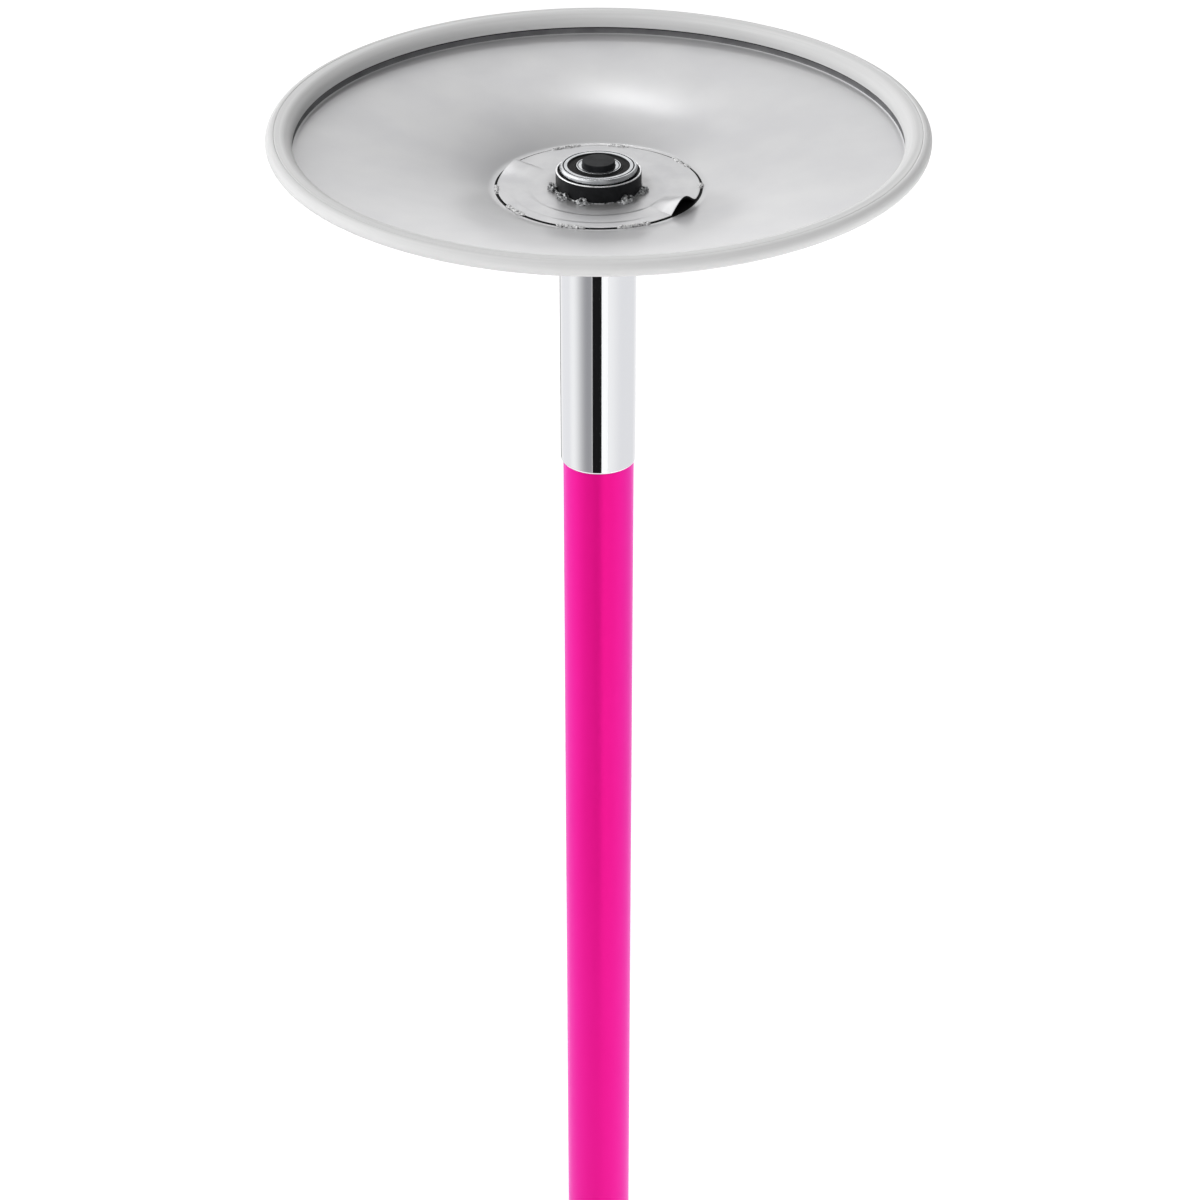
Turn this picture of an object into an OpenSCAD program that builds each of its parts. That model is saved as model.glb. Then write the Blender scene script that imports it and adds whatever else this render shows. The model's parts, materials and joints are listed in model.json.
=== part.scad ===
// Spinning and static dance pole, braced between a floor and a ceiling.
// Millimetres, +Z up. The origin is the middle of the floor pad's underside, and the front is -Y.

/* [Pole] */
// Outside diameter of the painted pole
pole_d = 45; // [42:0.5:47]
// Wall of the pole tubes
tube_wall = 2; // [1.5:0.1:2.6]
// Length of the upper tube
upper_len = 1000; // [900:10:1200]
// Length of the extension tube
extension_len = 250; // [200:10:500]
// Length of the lower tube
lower_len = 1000; // [600:10:1200]

/* [Couplers] */
// Length of an expanding coupler
coupler_len = 160; // [120:5:190]
// Slit between the two halves of a coupler
coupler_slit = 3; // [1:0.5:6]
// Chamfer at the ends of a coupler
coupler_chamfer = 2; // [0.5:0.5:4]
// Thread diameter of the coupler's jacking screws
coupler_screw_d = 8; // [6:1:10]
// Distance from the tube joint to a jacking screw
coupler_screw_offset = 45; // [25:1:50]
// Key hole in the tube wall over a jacking screw
key_hole_d = 9; // [7:0.5:12]

/* [Dome] */
// Diameter over the rubber ring that meets the ceiling
dome_d = 398; // [360:2:440]
// Thickness of the spun sheet
dish_t = 1.2; // [0.8:0.1:1.4]
// Height of the dish from its flat middle to its flat outer edge
dish_rise = 27.5; // [20:0.5:34]
// Radius where the flat middle of the dish ends
dish_flat_r = 63.5; // [63:0.5:75]
// Share of the dish's rise that an even cone makes, the rest bows up next to the flat middle
dish_cone_share = 0.69; // [0.5:0.01:1]
// How sharply the bowed share of the rise fades outwards
dish_bow = 3.75; // [2:0.05:4]
// Corner radius between the dish and its upright rim
dish_corner_r = 2; // [1.3:0.1:3]
// Radial width of the rubber ring
seal_w = 15.9; // [12:0.1:20]
// Height of the rubber ring
seal_h = 9; // [8:0.5:10]
// Thickness of the ring's lip inside the rim
seal_lip = 1.1; // [0.8:0.1:1.6]
// Rounding of the ring's inner top edge
seal_inner_r = 5; // [3:0.5:5.5]
// Rubber between the rim's edge and the ceiling
seal_pad = 3.9; // [3:0.1:4.5]

/* [Hub plate] */
// Diameter of the pressed plate welded in the dish
hub_plate_d = 124.8; // [116:0.4:125]
// Thickness of the pressed plate
hub_plate_t = 1.4; // [1:0.1:2]
// Height of each of the plate's two pressed steps
plate_step = 0.5; // [0.1:0.05:0.7]
// Radius of the inner step
plate_step_in = 43; // [38:0.5:46]
// Radius of the outer step
plate_step_out = 54.5; // [51:0.5:56]
// Height of a flute at the plate's edge
flute_h = 7; // [3:0.5:8]
// Radius where a flute starts to rise
flute_start = 38; // [34:1:44]
// Half of the angle that a flute spans
flute_half = 16; // [10:1:20]
// Direction of the first flute, from +X
flute_dir = -28; // [-60:1:60]

/* [Top bearing] */
// Bore of the top bearing, and diameter of the spindle in it
top_bore_d = 20; // [18:0.5:21]
// Outside diameter of the top bearing
top_bearing_d = 47; // [46:0.5:50]
// Width of the top bearing
top_bearing_w = 14; // [12.5:0.5:16]
// Ball diameter of the top bearing
top_ball_d = 7.94; // [7:0.02:8]
// Balls in the top bearing
top_ball_count = 8; // [6:1:9]
// Depth of the top bearing under the rubber ring's top
bearing_sink = 27.3; // [24:0.1:30]
// Height of the top bearing above its housing
bearing_proud = 2.95; // [1:0.05:4]
// Height of the spindle's end above the top bearing
spindle_proud = 3.1; // [1:0.1:5]

/* [Top housing] */
// Wall of the housing around the bearing
housing_wall = 2.5; // [1.8:0.1:4]
// Depth of the relief at the housing's mouth
housing_relief = 2.1; // [1:0.1:3]
// Floor of the housing under the bearing
housing_floor = 4.2; // [3:0.1:6]
// Radius of the flange under the dish
housing_flange_r = 34; // [30:0.5:40]
// Height of the top thrust bearing
top_thrust_h = 10; // [9:0.5:12]
// Outside diameter of the top thrust bearing
top_thrust_d = 35; // [34:0.5:36]
// Ball diameter of the top thrust bearing
top_thrust_ball_d = 5.56; // [4.5:0.02:5.6]
// Balls in the top thrust bearing
top_thrust_count = 12; // [8:1:13]
// Depth of the thrust bearing's seat in the housing
thrust_seat = 4; // [2:0.1:4.2]

/* [Chrome sleeve] */
// Outside diameter of the chrome sleeve under the dome
sleeve_d = 48; // [47.8:0.1:52]
// Wall of the chrome sleeve
sleeve_wall = 1.2; // [0.8:0.1:1.2]
// Length of the chrome sleeve
sleeve_len = 178; // [120:1:260]
// Rolled radius of the sleeve's lower lip
sleeve_lip_r = 2; // [1.6:0.1:2.4]
// Thickness of the disc at the top of the pole
plug_disc_t = 8; // [5:0.5:12]
// Length of the plug inside the upper tube
plug_len = 60; // [40:1:90]
// Bore inside the plug
plug_bore_d = 24; // [10:1:32]

/* [Floor base] */
// Diameter of the floor plate
plate_d = 300; // [260:5:360]
// Thickness of the floor plate
plate_t = 6; // [5:0.5:12]
// Rounding of the floor plate's top edge
plate_edge_r = 3; // [1:0.5:4]
// Thickness of the rubber pad under the plate
pad_t = 3; // [2:0.5:5]
// Distance from the plate's edge to the pad's edge
pad_inset = 4; // [2:1:12]
// Depth of the grooves in the pad's underside
pad_groove = 1.2; // [0.5:0.1:1.5]
// Diameter of the floor housing
hub_d = 84; // [80:1:96]
// Diameter of the floor housing's flange
hub_flange_d = 124; // [118:1:140]
// Thickness of the floor housing's flange
hub_flange_t = 10; // [8:0.5:11]
// Fillet between the flange and the housing
hub_fillet = 6; // [2:0.5:7]
// Thread diameter of the screws under the plate
plate_screw_d = 8; // [6:1:8]
// Radius of the circle of screws under the plate
plate_screw_r = 53; // [51:0.5:54]
// Thickness of the ring that holds the floor bearing down
retainer_t = 4; // [3:0.5:6]
// Height of the retaining ring's inner collar
retainer_collar_h = 3; // [2:0.5:5]
// Thread diameter of the retaining ring's screws
retainer_screw_d = 5; // [4:1:5]

/* [Floor bearings] */
// Bore of the floor bearings, and diameter of the threaded spindle
base_bore_d = 30; // [28:0.5:30.5]
// Outside diameter of the floor bearing
base_bearing_d = 62; // [61.5:0.5:64]
// Width of the floor bearing
base_bearing_w = 16; // [14.5:0.5:18]
// Ball diameter of the floor bearing
base_ball_d = 9.52; // [8:0.02:9.6]
// Balls in the floor bearing
base_ball_count = 9; // [7:1:10]
// Outside diameter of the floor thrust bearing
base_thrust_d = 47; // [46.5:0.5:50]
// Height of the floor thrust bearing
base_thrust_h = 11; // [10:0.5:14]
// Ball diameter of the floor thrust bearing
base_thrust_ball_d = 6; // [5:0.1:6.2]
// Balls in the floor thrust bearing
base_thrust_count = 14; // [10:1:16]

/* [Height adjuster] */
// Diameter of the spindle's collar
collar_d = 40; // [39:0.5:41]
// Height of the spindle's collar
collar_h = 8; // [7:0.5:12]
// Length of the spindle above the retaining ring
spindle_len = 252; // [210:1:300]
// Width across the spindle's two spanner flats
flats_w = 24; // [22:0.5:27]
// Height of the spanner flats
flats_h = 14; // [10:0.5:18]
// Space between the retaining ring and the flats
flats_gap = 8; // [5:0.5:12]
// Space between the flats and the nut at its lowest
nut_gap = 10; // [4:0.5:16]
// Width across the flats of the adjuster nut
nut_w = 46; // [42:0.5:47]
// Height of the adjuster nut
nut_h = 22; // [16:0.5:28]
// Thickness of the washer on the nut
washer_t = 2; // [1:0.5:4]
// Thickness of the flange under the lower tube
bush_flange_t = 4; // [3:0.5:6]
// Length of the guide bush inside the lower tube
bush_len = 40; // [25:1:60]
// Thread diameter of the spin lock screws
lock_screw_d = 8; // [6:1:9]
// Length of a spin lock screw
lock_screw_len = 16; // [12:0.5:18]
// Gap between an open spin lock screw and the collar
lock_open = 2; // [1:0.1:3]

/* [Cover] */
// Outside diameter of the chrome cover over the adjuster
cover_d = 60; // [59.5:0.5:62]
// Wall of the chrome cover
cover_wall = 2; // [1:0.1:2.2]
// Length of the chrome cover
cover_len = 160; // [140:1:200]
// Rounding of the cover's top edge
cover_edge_r = 4; // [2.5:0.5:5]

/* [Hidden] */
$fn = 96;

// Clearances
seat_gap = 0.02;        // pieces pressed together
run_gap = 0.08;         // a shaft that turns or slides in its bore
race_gap = 0.1;         // a ball in its race or pocket
rest_gap = 0.1;         // flat faces that move on each other
slip_gap = 0.3;         // curved faces that pass each other freely
plug_gap = 0.1;         // plugs and couplers in a tube
cut = 1;                // how far a cutting shape runs past a face

// Radii that several pieces share
pole_r = pole_d / 2;
tube_ri = pole_r - tube_wall;
base_r = base_bore_d / 2;
base_or = base_bearing_d / 2;
top_r = top_bore_d / 2;
top_or = top_bearing_d / 2;
seal_ri = dome_d / 2 - seal_w;
rim_ri = seal_ri + seal_lip;
sleeve_ri = sleeve_d / 2 - sleeve_wall;
cover_ri = cover_d / 2 - cover_wall;
housing_r = top_or + housing_wall;
plate_hole_r = housing_r + slip_gap;
hub_r = hub_d / 2;
thrust_bore_r = base_thrust_d / 2 + plug_gap;

// Heights, from the floor up
plate_z = pad_t;
hub_z = plate_z + plate_t;
collar_z = hub_z + base_thrust_h;
bearing_z = collar_z + collar_h;
retainer_z = bearing_z + base_bearing_w;
cover_z = retainer_z + retainer_t;
flats_z = cover_z + flats_gap;
nut_z = flats_z + flats_h + nut_gap;
washer_z = nut_z + nut_h;
bush_z = washer_z + washer_t + rest_gap;
tube_z = bush_z + bush_flange_t;
extension_z = tube_z + lower_len;
upper_z = extension_z + extension_len;
tube_top = upper_z + upper_len;
top_thrust_z = tube_top + plug_disc_t;
floor_z = top_thrust_z + top_thrust_h;
top_bearing_z = floor_z + housing_floor;
bearing_top = top_bearing_z + top_bearing_w;
dome_top = bearing_top + bearing_sink;
land_z = top_bearing_z + rest_gap;
dish_edge_z = land_z + dish_rise;
hub_plate_z = land_z + rest_gap + hub_plate_t;
housing_top = bearing_top - bearing_proud;
housing_bottom = floor_z - thrust_seat;
lock_z = collar_z + collar_h / 2;

// Small edges and depths
edge_chamfer = 1;       // broken edge of a machined piece
fine_chamfer = 0.5;     // broken edge of a small or thin piece
screw_end_gap = 2;      // solid metal past the end of a blind screw
washer_clear = 1;       // a standing washer clears the shaft by this
flute_power = 1.2;      // above 1, a flute rises slowly at first

// Proportions of rolling bearings
land_share = 0.28;      // of the ball's diameter, from the pitch circle to a ring's land
seal_sink = 0.5;        // depth of a seal under the rings' faces
seal_t = 1.2;           // thickness of a bearing seal
ring_chamfer = 0.6;     // chamfer of a bearing ring's outer edges
face_groove_w = 0.5;    // width of the fine groove in the outer ring's face
face_groove_d = 0.4;    // depth of that groove
cage_share = 0.15;      // of the ball's diameter, half the thickness of a radial bearing's cage

// Steps in curved profiles
dish_steps = 24;
dish_step_power = 1.6;  // above 1, the dish's steps are finer at its inner fold
arc_steps = 6;

// Colours, as the photograph shows them
pink = [0.86, 0.05, 0.5];
chrome = [0.9, 0.91, 0.92];
satin = [0.8, 0.8, 0.81];
grey_rubber = [0.74, 0.74, 0.74];
dark_steel = [0.25, 0.25, 0.26];
steel = [0.66, 0.67, 0.68];
black = [0.08, 0.08, 0.09];
brass = [0.75, 0.6, 0.3];
alloy = [0.72, 0.73, 0.74];

// Points of an arc in a profile, from one angle to the other
function arc(cx, cy, r, from, to) = [
    for (i = [0 : arc_steps])
        let (a = from + (to - from) * i / arc_steps)
        [cx + r * cos(a), cy + r * sin(a)]
];

// Height of the dish's funnel without its inner fold, from 0 at the flat middle to 1 at the rim
function dish_bowed(u) = dish_cone_share * u + (1 - dish_cone_share) * (1 - pow(1 - u, dish_bow));

// The same height with the fold, where the slope grows from none to its full value
function dish_curve(u) =
    let (from_fold = u < dish_fold ? u * u / (2 * dish_fold) : u - dish_fold / 2)
    dish_bowed(from_fold) / dish_bowed(1 - dish_fold / 2);

// A smooth step from 0 to 1
function smooth(u) = let (t = min(max(u, 0), 1)) t * t * (3 - 2 * t);

// Plain ring standing on z = 0
module ring(r_in, r_out, h) {
    rotate_extrude() translate([r_in, 0]) square([r_out - r_in, h]);
}

// A row of balls around the axis, centred on z = 0
module ball_row(count, pitch_r, ball_r) {
    for (i = [0 : count - 1]) {
        rotate([0, 0, i * 360 / count]) translate([pitch_r, 0, 0]) sphere(r = ball_r);
    }
}

// Flat cage of a thrust bearing, with a round pocket for each ball, centred on z = 0
module thrust_cage(count, pitch_r, ball_r, r_in, r_out, h) {
    difference() {
        translate([0, 0, -h / 2]) ring(r_in, r_out, h);
        ball_row(count, pitch_r, ball_r + race_gap);
    }
}

// Band cage of a radial bearing, with a pocket drilled through for each ball, centred on z = 0
module radial_cage(count, pitch_r, ball_r, half_t, h) {
    difference() {
        translate([0, 0, -h / 2]) ring(pitch_r - half_t, pitch_r + half_t, h);
        for (i = [0 : count - 1]) {
            rotate([0, 0, i * 360 / count]) translate([pitch_r - half_t - cut, 0, 0]) rotate([0, 90, 0]) {
                cylinder(h = 2 * (half_t + cut), r = ball_r + race_gap);
            }
        }
    }
}

// Outer ring of a radial bearing, standing on z = 0
module outer_ring(r_out, r_in, w, pitch_r, ball_r) {
    rotate_extrude() difference() {
        polygon([
            [r_in, 0], [r_out - ring_chamfer, 0], [r_out, ring_chamfer],
            [r_out, w - ring_chamfer], [r_out - ring_chamfer, w], [r_in, w]
        ]);
        translate([pitch_r, w / 2]) circle(r = ball_r + race_gap);
        translate([(r_in + r_out) / 2 + face_groove_w / 2, w - face_groove_d]) {
            square([face_groove_w, face_groove_d + cut]);
        }
    }
}

// Inner ring of a radial bearing, standing on z = 0
module inner_ring(r_in, r_out, w, pitch_r, ball_r) {
    rotate_extrude() difference() {
        polygon([
            [r_in, ring_chamfer], [r_in + ring_chamfer, 0], [r_out, 0],
            [r_out, w], [r_in + ring_chamfer, w], [r_in, w - ring_chamfer]
        ]);
        translate([pitch_r, w / 2]) circle(r = ball_r + race_gap);
    }
}

// Two flat seals that close a radial bearing of width w standing on z = 0
module seal_pair(r_in, r_out, w) {
    for (z = [seal_sink, w - seal_sink - seal_t]) {
        translate([0, 0, z]) ring(r_in, r_out, seal_t);
    }
}

// Washer of a thrust bearing standing on z = 0, with its race in the top or the bottom face
module thrust_washer(r_in, r_out, h, pitch_r, ball_r, race_z) {
    rotate_extrude() difference() {
        translate([r_in, 0]) square([r_out - r_in, h]);
        translate([pitch_r, race_z]) circle(r = ball_r + race_gap);
    }
}

// Grub screw along +Z from z = 0, with a dog point below and a hexagon socket above
module grub_screw(d, len, point_d, point_len, key_w) {
    key_depth = key_w;
    difference() {
        union() {
            cylinder(h = point_len, d = point_d);
            translate([0, 0, point_len]) cylinder(h = len - point_len, d = d);
        }
        translate([0, 0, len - key_depth]) cylinder(h = key_depth + cut, d = key_w / cos(30), $fn = 6);
    }
}

// Floor pad: rubber disc with ring grooves in its underside
pad_r = plate_d / 2 - pad_inset;
pad_groove_w = 4;
pad_groove_count = 5;

module base_pad() color(black) {
    rotate_extrude() difference() {
        square([pad_r, pad_t]);
        for (i = [1 : pad_groove_count]) {
            translate([i * pad_r / (pad_groove_count + 1), -cut]) {
                square([pad_groove_w, pad_groove + cut]);
            }
        }
    }
}

// Floor plate: heavy chromed disc, with countersunk holes from below
plate_screw_count = 4;
plate_head_r = plate_screw_d;
plate_head_h = plate_screw_d / 2;
plate_screw_bite = hub_flange_t - screw_end_gap;

module at_plate_screws() {
    for (i = [0 : plate_screw_count - 1]) {
        rotate([0, 0, 45 + i * 360 / plate_screw_count]) translate([plate_screw_r, 0, plate_z]) children();
    }
}

module base_plate() color(chrome) {
    difference() {
        translate([0, 0, plate_z]) rotate_extrude() {
            polygon(concat(
                [[0, 0], [plate_d / 2, 0]],
                arc(plate_d / 2 - plate_edge_r, plate_t - plate_edge_r, plate_edge_r, 0, 90),
                [[0, plate_t]]
            ));
        }
        at_plate_screws() {
            translate([0, 0, -cut]) cylinder(h = plate_t + 2 * cut, r = plate_screw_d / 2 + plug_gap);
            cylinder(h = plate_head_h, r1 = plate_head_r, r2 = plate_screw_d / 2 + plug_gap);
        }
    }
}

// Screws under the floor plate: flat heads flush with its underside
module base_screws() color(steel) {
    head_r = plate_head_r - plug_gap;
    shank_r = plate_screw_d / 2 - seat_gap;
    at_plate_screws() difference() {
        union() {
            cylinder(h = plate_head_h, r1 = head_r, r2 = shank_r);
            cylinder(h = plate_t + plate_screw_bite - plug_gap, r = shank_r);
        }
        translate([0, 0, -cut]) cylinder(h = plate_head_h / 2 + cut, r = plate_screw_d * 0.35, $fn = 6);
    }
}

// Floor housing: flanged steel hub that holds both floor bearings
flange_chamfer = 2;

module base_housing() color(chrome) {
    difference() {
        translate([0, 0, hub_z]) rotate_extrude() {
            polygon(concat(
                [[thrust_bore_r, 0], [hub_flange_d / 2, 0], [hub_flange_d / 2, hub_flange_t - flange_chamfer]],
                [[hub_flange_d / 2 - flange_chamfer, hub_flange_t], [hub_r + hub_fillet, hub_flange_t]],
                arc(hub_r + hub_fillet, hub_flange_t + hub_fillet, hub_fillet, -90, -180),
                [[hub_r, retainer_z - hub_z], [base_or + seat_gap, retainer_z - hub_z]],
                [[base_or + seat_gap, bearing_z - hub_z], [thrust_bore_r, bearing_z - hub_z]]
            ));
        }
        at_plate_screws() {
            translate([0, 0, plate_t - cut]) cylinder(h = plate_screw_bite + cut, d = plate_screw_d);
        }
        at_retainer_screws() {
            translate([0, 0, -retainer_bite]) cylinder(h = retainer_bite + cut, d = retainer_screw_d);
        }
        for (side = [0, 180]) {
            rotate([0, 0, side]) translate([thrust_bore_r - cut, 0, lock_z]) rotate([0, 90, 0]) {
                cylinder(h = hub_r, d = lock_screw_d + 2 * run_gap);
            }
        }
    }
}

// Retaining ring: holds the floor bearing down and centres the cover
retainer_screw_count = 4;
retainer_bite = 10;
retainer_screw_r = (base_or + hub_r) / 2;
retainer_overlap = 6;   // how far the ring reaches over the bearing
retainer_ri = base_or - retainer_overlap;
retainer_collar_r = cover_ri - slip_gap;

module at_retainer_screws() {
    for (i = [0 : retainer_screw_count - 1]) {
        rotate([0, 0, i * 360 / retainer_screw_count + 45]) {
            translate([retainer_screw_r, 0, retainer_z]) children();
        }
    }
}

module base_retainer() color(chrome) {
    difference() {
        translate([0, 0, retainer_z]) rotate_extrude() {
            polygon([
                [retainer_ri, 0], [hub_r, 0],
                [hub_r, retainer_t - edge_chamfer], [hub_r - edge_chamfer, retainer_t],
                [retainer_collar_r, retainer_t], [retainer_collar_r, retainer_t + retainer_collar_h],
                [retainer_ri, retainer_t + retainer_collar_h]
            ]);
        }
        at_retainer_screws() {
            translate([0, 0, -cut]) cylinder(h = retainer_t + 2 * cut, r = retainer_screw_d / 2 + plug_gap);
        }
    }
}

module retainer_screws() color(steel) {
    head_h = retainer_screw_d * 0.55;
    head_r = retainer_screw_d * 0.85;
    at_retainer_screws() difference() {
        union() {
            translate([0, 0, retainer_t]) rotate_extrude() {
                polygon([
                    [0, 0], [head_r, 0], [head_r, head_h * 0.4], [head_r * 0.8, head_h * 0.8],
                    [head_r * 0.5, head_h], [0, head_h]
                ]);
            }
            translate([0, 0, plug_gap - retainer_bite]) {
                cylinder(h = retainer_bite + retainer_t, r = retainer_screw_d / 2 - seat_gap);
            }
        }
        translate([0, 0, retainer_t + head_h / 3]) cylinder(h = head_h, r = retainer_screw_d * 0.33, $fn = 6);
    }
}

// Floor bearing: carries the spindle sideways
base_pitch_r = (base_r + base_or) / 2;
base_ball_r = base_ball_d / 2;
base_land = base_ball_d * land_share;
base_cage_half = base_ball_d * cage_share;
base_cage_h = base_bearing_w - 2 * (seal_sink + seal_t + slip_gap);

module base_bearing_outer_ring() color(steel) {
    translate([0, 0, bearing_z]) {
        outer_ring(base_or, base_pitch_r + base_land, base_bearing_w, base_pitch_r, base_ball_r);
    }
}

module base_bearing_inner_ring() color(steel) {
    translate([0, 0, bearing_z]) {
        inner_ring(base_r + seat_gap, base_pitch_r - base_land, base_bearing_w, base_pitch_r, base_ball_r);
    }
}

module base_bearing_seals() color(black) {
    translate([0, 0, bearing_z]) {
        seal_pair(base_pitch_r - base_land + slip_gap, base_pitch_r + base_land - seat_gap, base_bearing_w);
    }
}

module base_bearing_cage() color(brass) {
    translate([0, 0, bearing_z + base_bearing_w / 2]) {
        radial_cage(base_ball_count, base_pitch_r, base_ball_r, base_cage_half, base_cage_h);
    }
}

module base_bearing_balls() color(steel) {
    translate([0, 0, bearing_z + base_bearing_w / 2]) ball_row(base_ball_count, base_pitch_r, base_ball_r);
}

// Floor thrust bearing: carries the weight and the bracing force
base_thrust_pitch = (base_r + base_thrust_d / 2) / 2;
base_thrust_ball_r = base_thrust_ball_d / 2;
washer_share = 0.36;    // of a thrust bearing's height, the thickness of one washer
cage_gap = 0.4;         // between a thrust cage and its neighbours
base_washer_t = base_thrust_h * washer_share;

module base_thrust_lower_washer() color(steel) {
    translate([0, 0, hub_z]) {
        thrust_washer(base_r + washer_clear, base_thrust_d / 2, base_washer_t,
            base_thrust_pitch, base_thrust_ball_r, base_thrust_h / 2);
    }
}

module base_thrust_upper_washer() color(steel) {
    translate([0, 0, collar_z - base_washer_t]) {
        thrust_washer(base_r + seat_gap, base_thrust_d / 2 - slip_gap, base_washer_t,
            base_thrust_pitch, base_thrust_ball_r, base_washer_t - base_thrust_h / 2);
    }
}

module base_thrust_cage() color(brass) {
    translate([0, 0, hub_z + base_thrust_h / 2]) {
        thrust_cage(base_thrust_count, base_thrust_pitch, base_thrust_ball_r,
            base_r + cage_gap, base_thrust_d / 2 - cage_gap, base_thrust_h - 2 * base_washer_t - 2 * cage_gap);
    }
}

module base_thrust_balls() color(steel) {
    translate([0, 0, hub_z + base_thrust_h / 2]) {
        ball_row(base_thrust_count, base_thrust_pitch, base_thrust_ball_r);
    }
}

// Spin lock screws: turned in against the collar they hold the pole still
lock_point_d = lock_screw_d * 0.65;
lock_point_len = 2;

module lock_screw(side) {
    rotate([0, 0, side]) translate([collar_d / 2 + lock_open, 0, lock_z]) rotate([0, 90, 0]) {
        grub_screw(lock_screw_d, lock_screw_len, lock_point_d, lock_point_len, lock_screw_d / 2);
    }
}

module spin_lock_screw_left() color(dark_steel) lock_screw(180);

module spin_lock_screw_right() color(dark_steel) lock_screw(0);

// Threaded spindle: turns in the floor bearings and carries the nut
spindle_chamfer = 2;
spindle_foot_gap = 1.5;
spindle_top = cover_z + spindle_len;

module adjuster_spindle() color(steel) {
    foot_z = hub_z + spindle_foot_gap;
    difference() {
        rotate_extrude() {
            polygon([
                [0, foot_z], [base_r - edge_chamfer, foot_z], [base_r, foot_z + edge_chamfer],
                [base_r, collar_z], [collar_d / 2, collar_z], [collar_d / 2, bearing_z], [base_r, bearing_z],
                [base_r, spindle_top - spindle_chamfer], [base_r - spindle_chamfer, spindle_top],
                [0, spindle_top]
            ]);
        }
        for (side = [-1, 1]) {
            translate([side * (flats_w / 2 + base_r) - base_r, -base_r - cut, flats_z]) {
                cube([2 * base_r, 2 * base_r + 2 * cut, flats_h]);
            }
        }
    }
}

// Adjuster nut: turned with a spanner, it climbs the spindle and lifts the pole
nut_chamfer = 2.5;

module adjuster_nut() color(chrome) {
    corner_r = nut_w / 2 / cos(30);
    translate([0, 0, nut_z]) difference() {
        intersection() {
            cylinder(h = nut_h, r = corner_r, $fn = 6);
            rotate_extrude() {
                polygon([
                    [0, 0], [nut_w / 2 - fine_chamfer, 0], [corner_r, nut_chamfer],
                    [corner_r, nut_h - nut_chamfer], [nut_w / 2 - fine_chamfer, nut_h], [0, nut_h]
                ]);
            }
        }
        translate([0, 0, -cut]) cylinder(h = nut_h + 2 * cut, r = base_r + run_gap);
    }
}

// Washer between the turning nut and the pole
module adjuster_washer() color(brass) {
    translate([0, 0, washer_z]) ring(base_r + run_gap, pole_r - edge_chamfer, washer_t);
}

// Chrome cover: hides the adjuster, and is lifted to reach it
module cover_sleeve() color(chrome) {
    r_out = cover_d / 2;
    corner_z = cover_len - cover_edge_r;
    translate([0, 0, cover_z + rest_gap]) rotate_extrude() {
        polygon(concat(
            [[cover_ri, 0], [r_out, 0]],
            arc(r_out - cover_edge_r, corner_z, cover_edge_r, 0, 90),
            [[pole_r + slip_gap, cover_len], [pole_r + slip_gap, cover_len - cover_wall]],
            arc(r_out - cover_edge_r, corner_z, cover_edge_r - cover_wall, 90, 0)
        ));
    }
}

// Guide bush: closes the lower tube and slides on the spindle
module lower_end_bush() color(steel) {
    translate([0, 0, bush_z]) rotate_extrude() {
        polygon([
            [base_r + run_gap, 0], [pole_r - fine_chamfer, 0], [pole_r, fine_chamfer], [pole_r, bush_flange_t],
            [tube_ri - plug_gap, bush_flange_t], [tube_ri - plug_gap, bush_flange_t + bush_len],
            [base_r + run_gap, bush_flange_t + bush_len]
        ]);
    }
}

// Pole tubes, with a key hole in front of each jacking screw
module key_hole(z) {
    translate([0, 0, z]) rotate([90, 0, 0]) cylinder(h = pole_r + cut, d = key_hole_d);
}

module pole_tube(z, len, holes) {
    difference() {
        translate([0, 0, z]) ring(tube_ri, pole_r, len);
        for (hole_z = holes) key_hole(hole_z);
    }
}

module lower_tube() color(pink) pole_tube(tube_z, lower_len, [extension_z - coupler_screw_offset]);

module extension_tube() color(pink) {
    pole_tube(extension_z, extension_len,
        [extension_z + coupler_screw_offset, upper_z - coupler_screw_offset]);
}

module upper_tube() color(pink) pole_tube(upper_z, upper_len, [upper_z + coupler_screw_offset]);

// Expanding couplers: two half-round bars that the jacking screws push apart
coupler_r = tube_ri - plug_gap;
coupler_screw_sink = 2; // depth of a jacking screw's end under the coupler's skin

// One half, facing -Y when side is -1 and +Y when side is 1
module coupler_half(joint_z, side) {
    chamfer = coupler_chamfer;
    difference() {
        translate([0, 0, joint_z - coupler_len / 2]) rotate_extrude() {
            polygon([
                [0, 0], [coupler_r - chamfer, 0], [coupler_r, chamfer],
                [coupler_r, coupler_len - chamfer], [coupler_r - chamfer, coupler_len], [0, coupler_len]
            ]);
        }
        translate([-pole_r, side > 0 ? coupler_slit / 2 - pole_d : -coupler_slit / 2,
            joint_z - coupler_len / 2 - cut]) {
            cube([pole_d, pole_d, coupler_len + 2 * cut]);
        }
        if (side < 0) {
            for (end = [-1, 1]) {
                translate([0, 0, joint_z + end * coupler_screw_offset]) rotate([90, 0, 0]) {
                    cylinder(h = pole_r, d = coupler_screw_d);
                }
            }
        }
    }
}

// The two jacking screws of one coupler, turned through the key holes
module coupler_screws(joint_z) {
    tip_y = coupler_slit / 2 - rest_gap;
    for (end = [-1, 1]) {
        translate([0, tip_y, joint_z + end * coupler_screw_offset]) rotate([90, 0, 0]) {
            grub_screw(coupler_screw_d - 2 * seat_gap, coupler_r + tip_y - coupler_screw_sink,
                coupler_screw_d * 0.6, coupler_slit / 2, coupler_screw_d / 2);
        }
    }
}

module lower_coupler_front() color(alloy) coupler_half(extension_z, -1);

module lower_coupler_back() color(alloy) coupler_half(extension_z, 1);

module lower_coupler_screws() color(dark_steel) coupler_screws(extension_z);

module upper_coupler_front() color(alloy) coupler_half(upper_z, -1);

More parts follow.
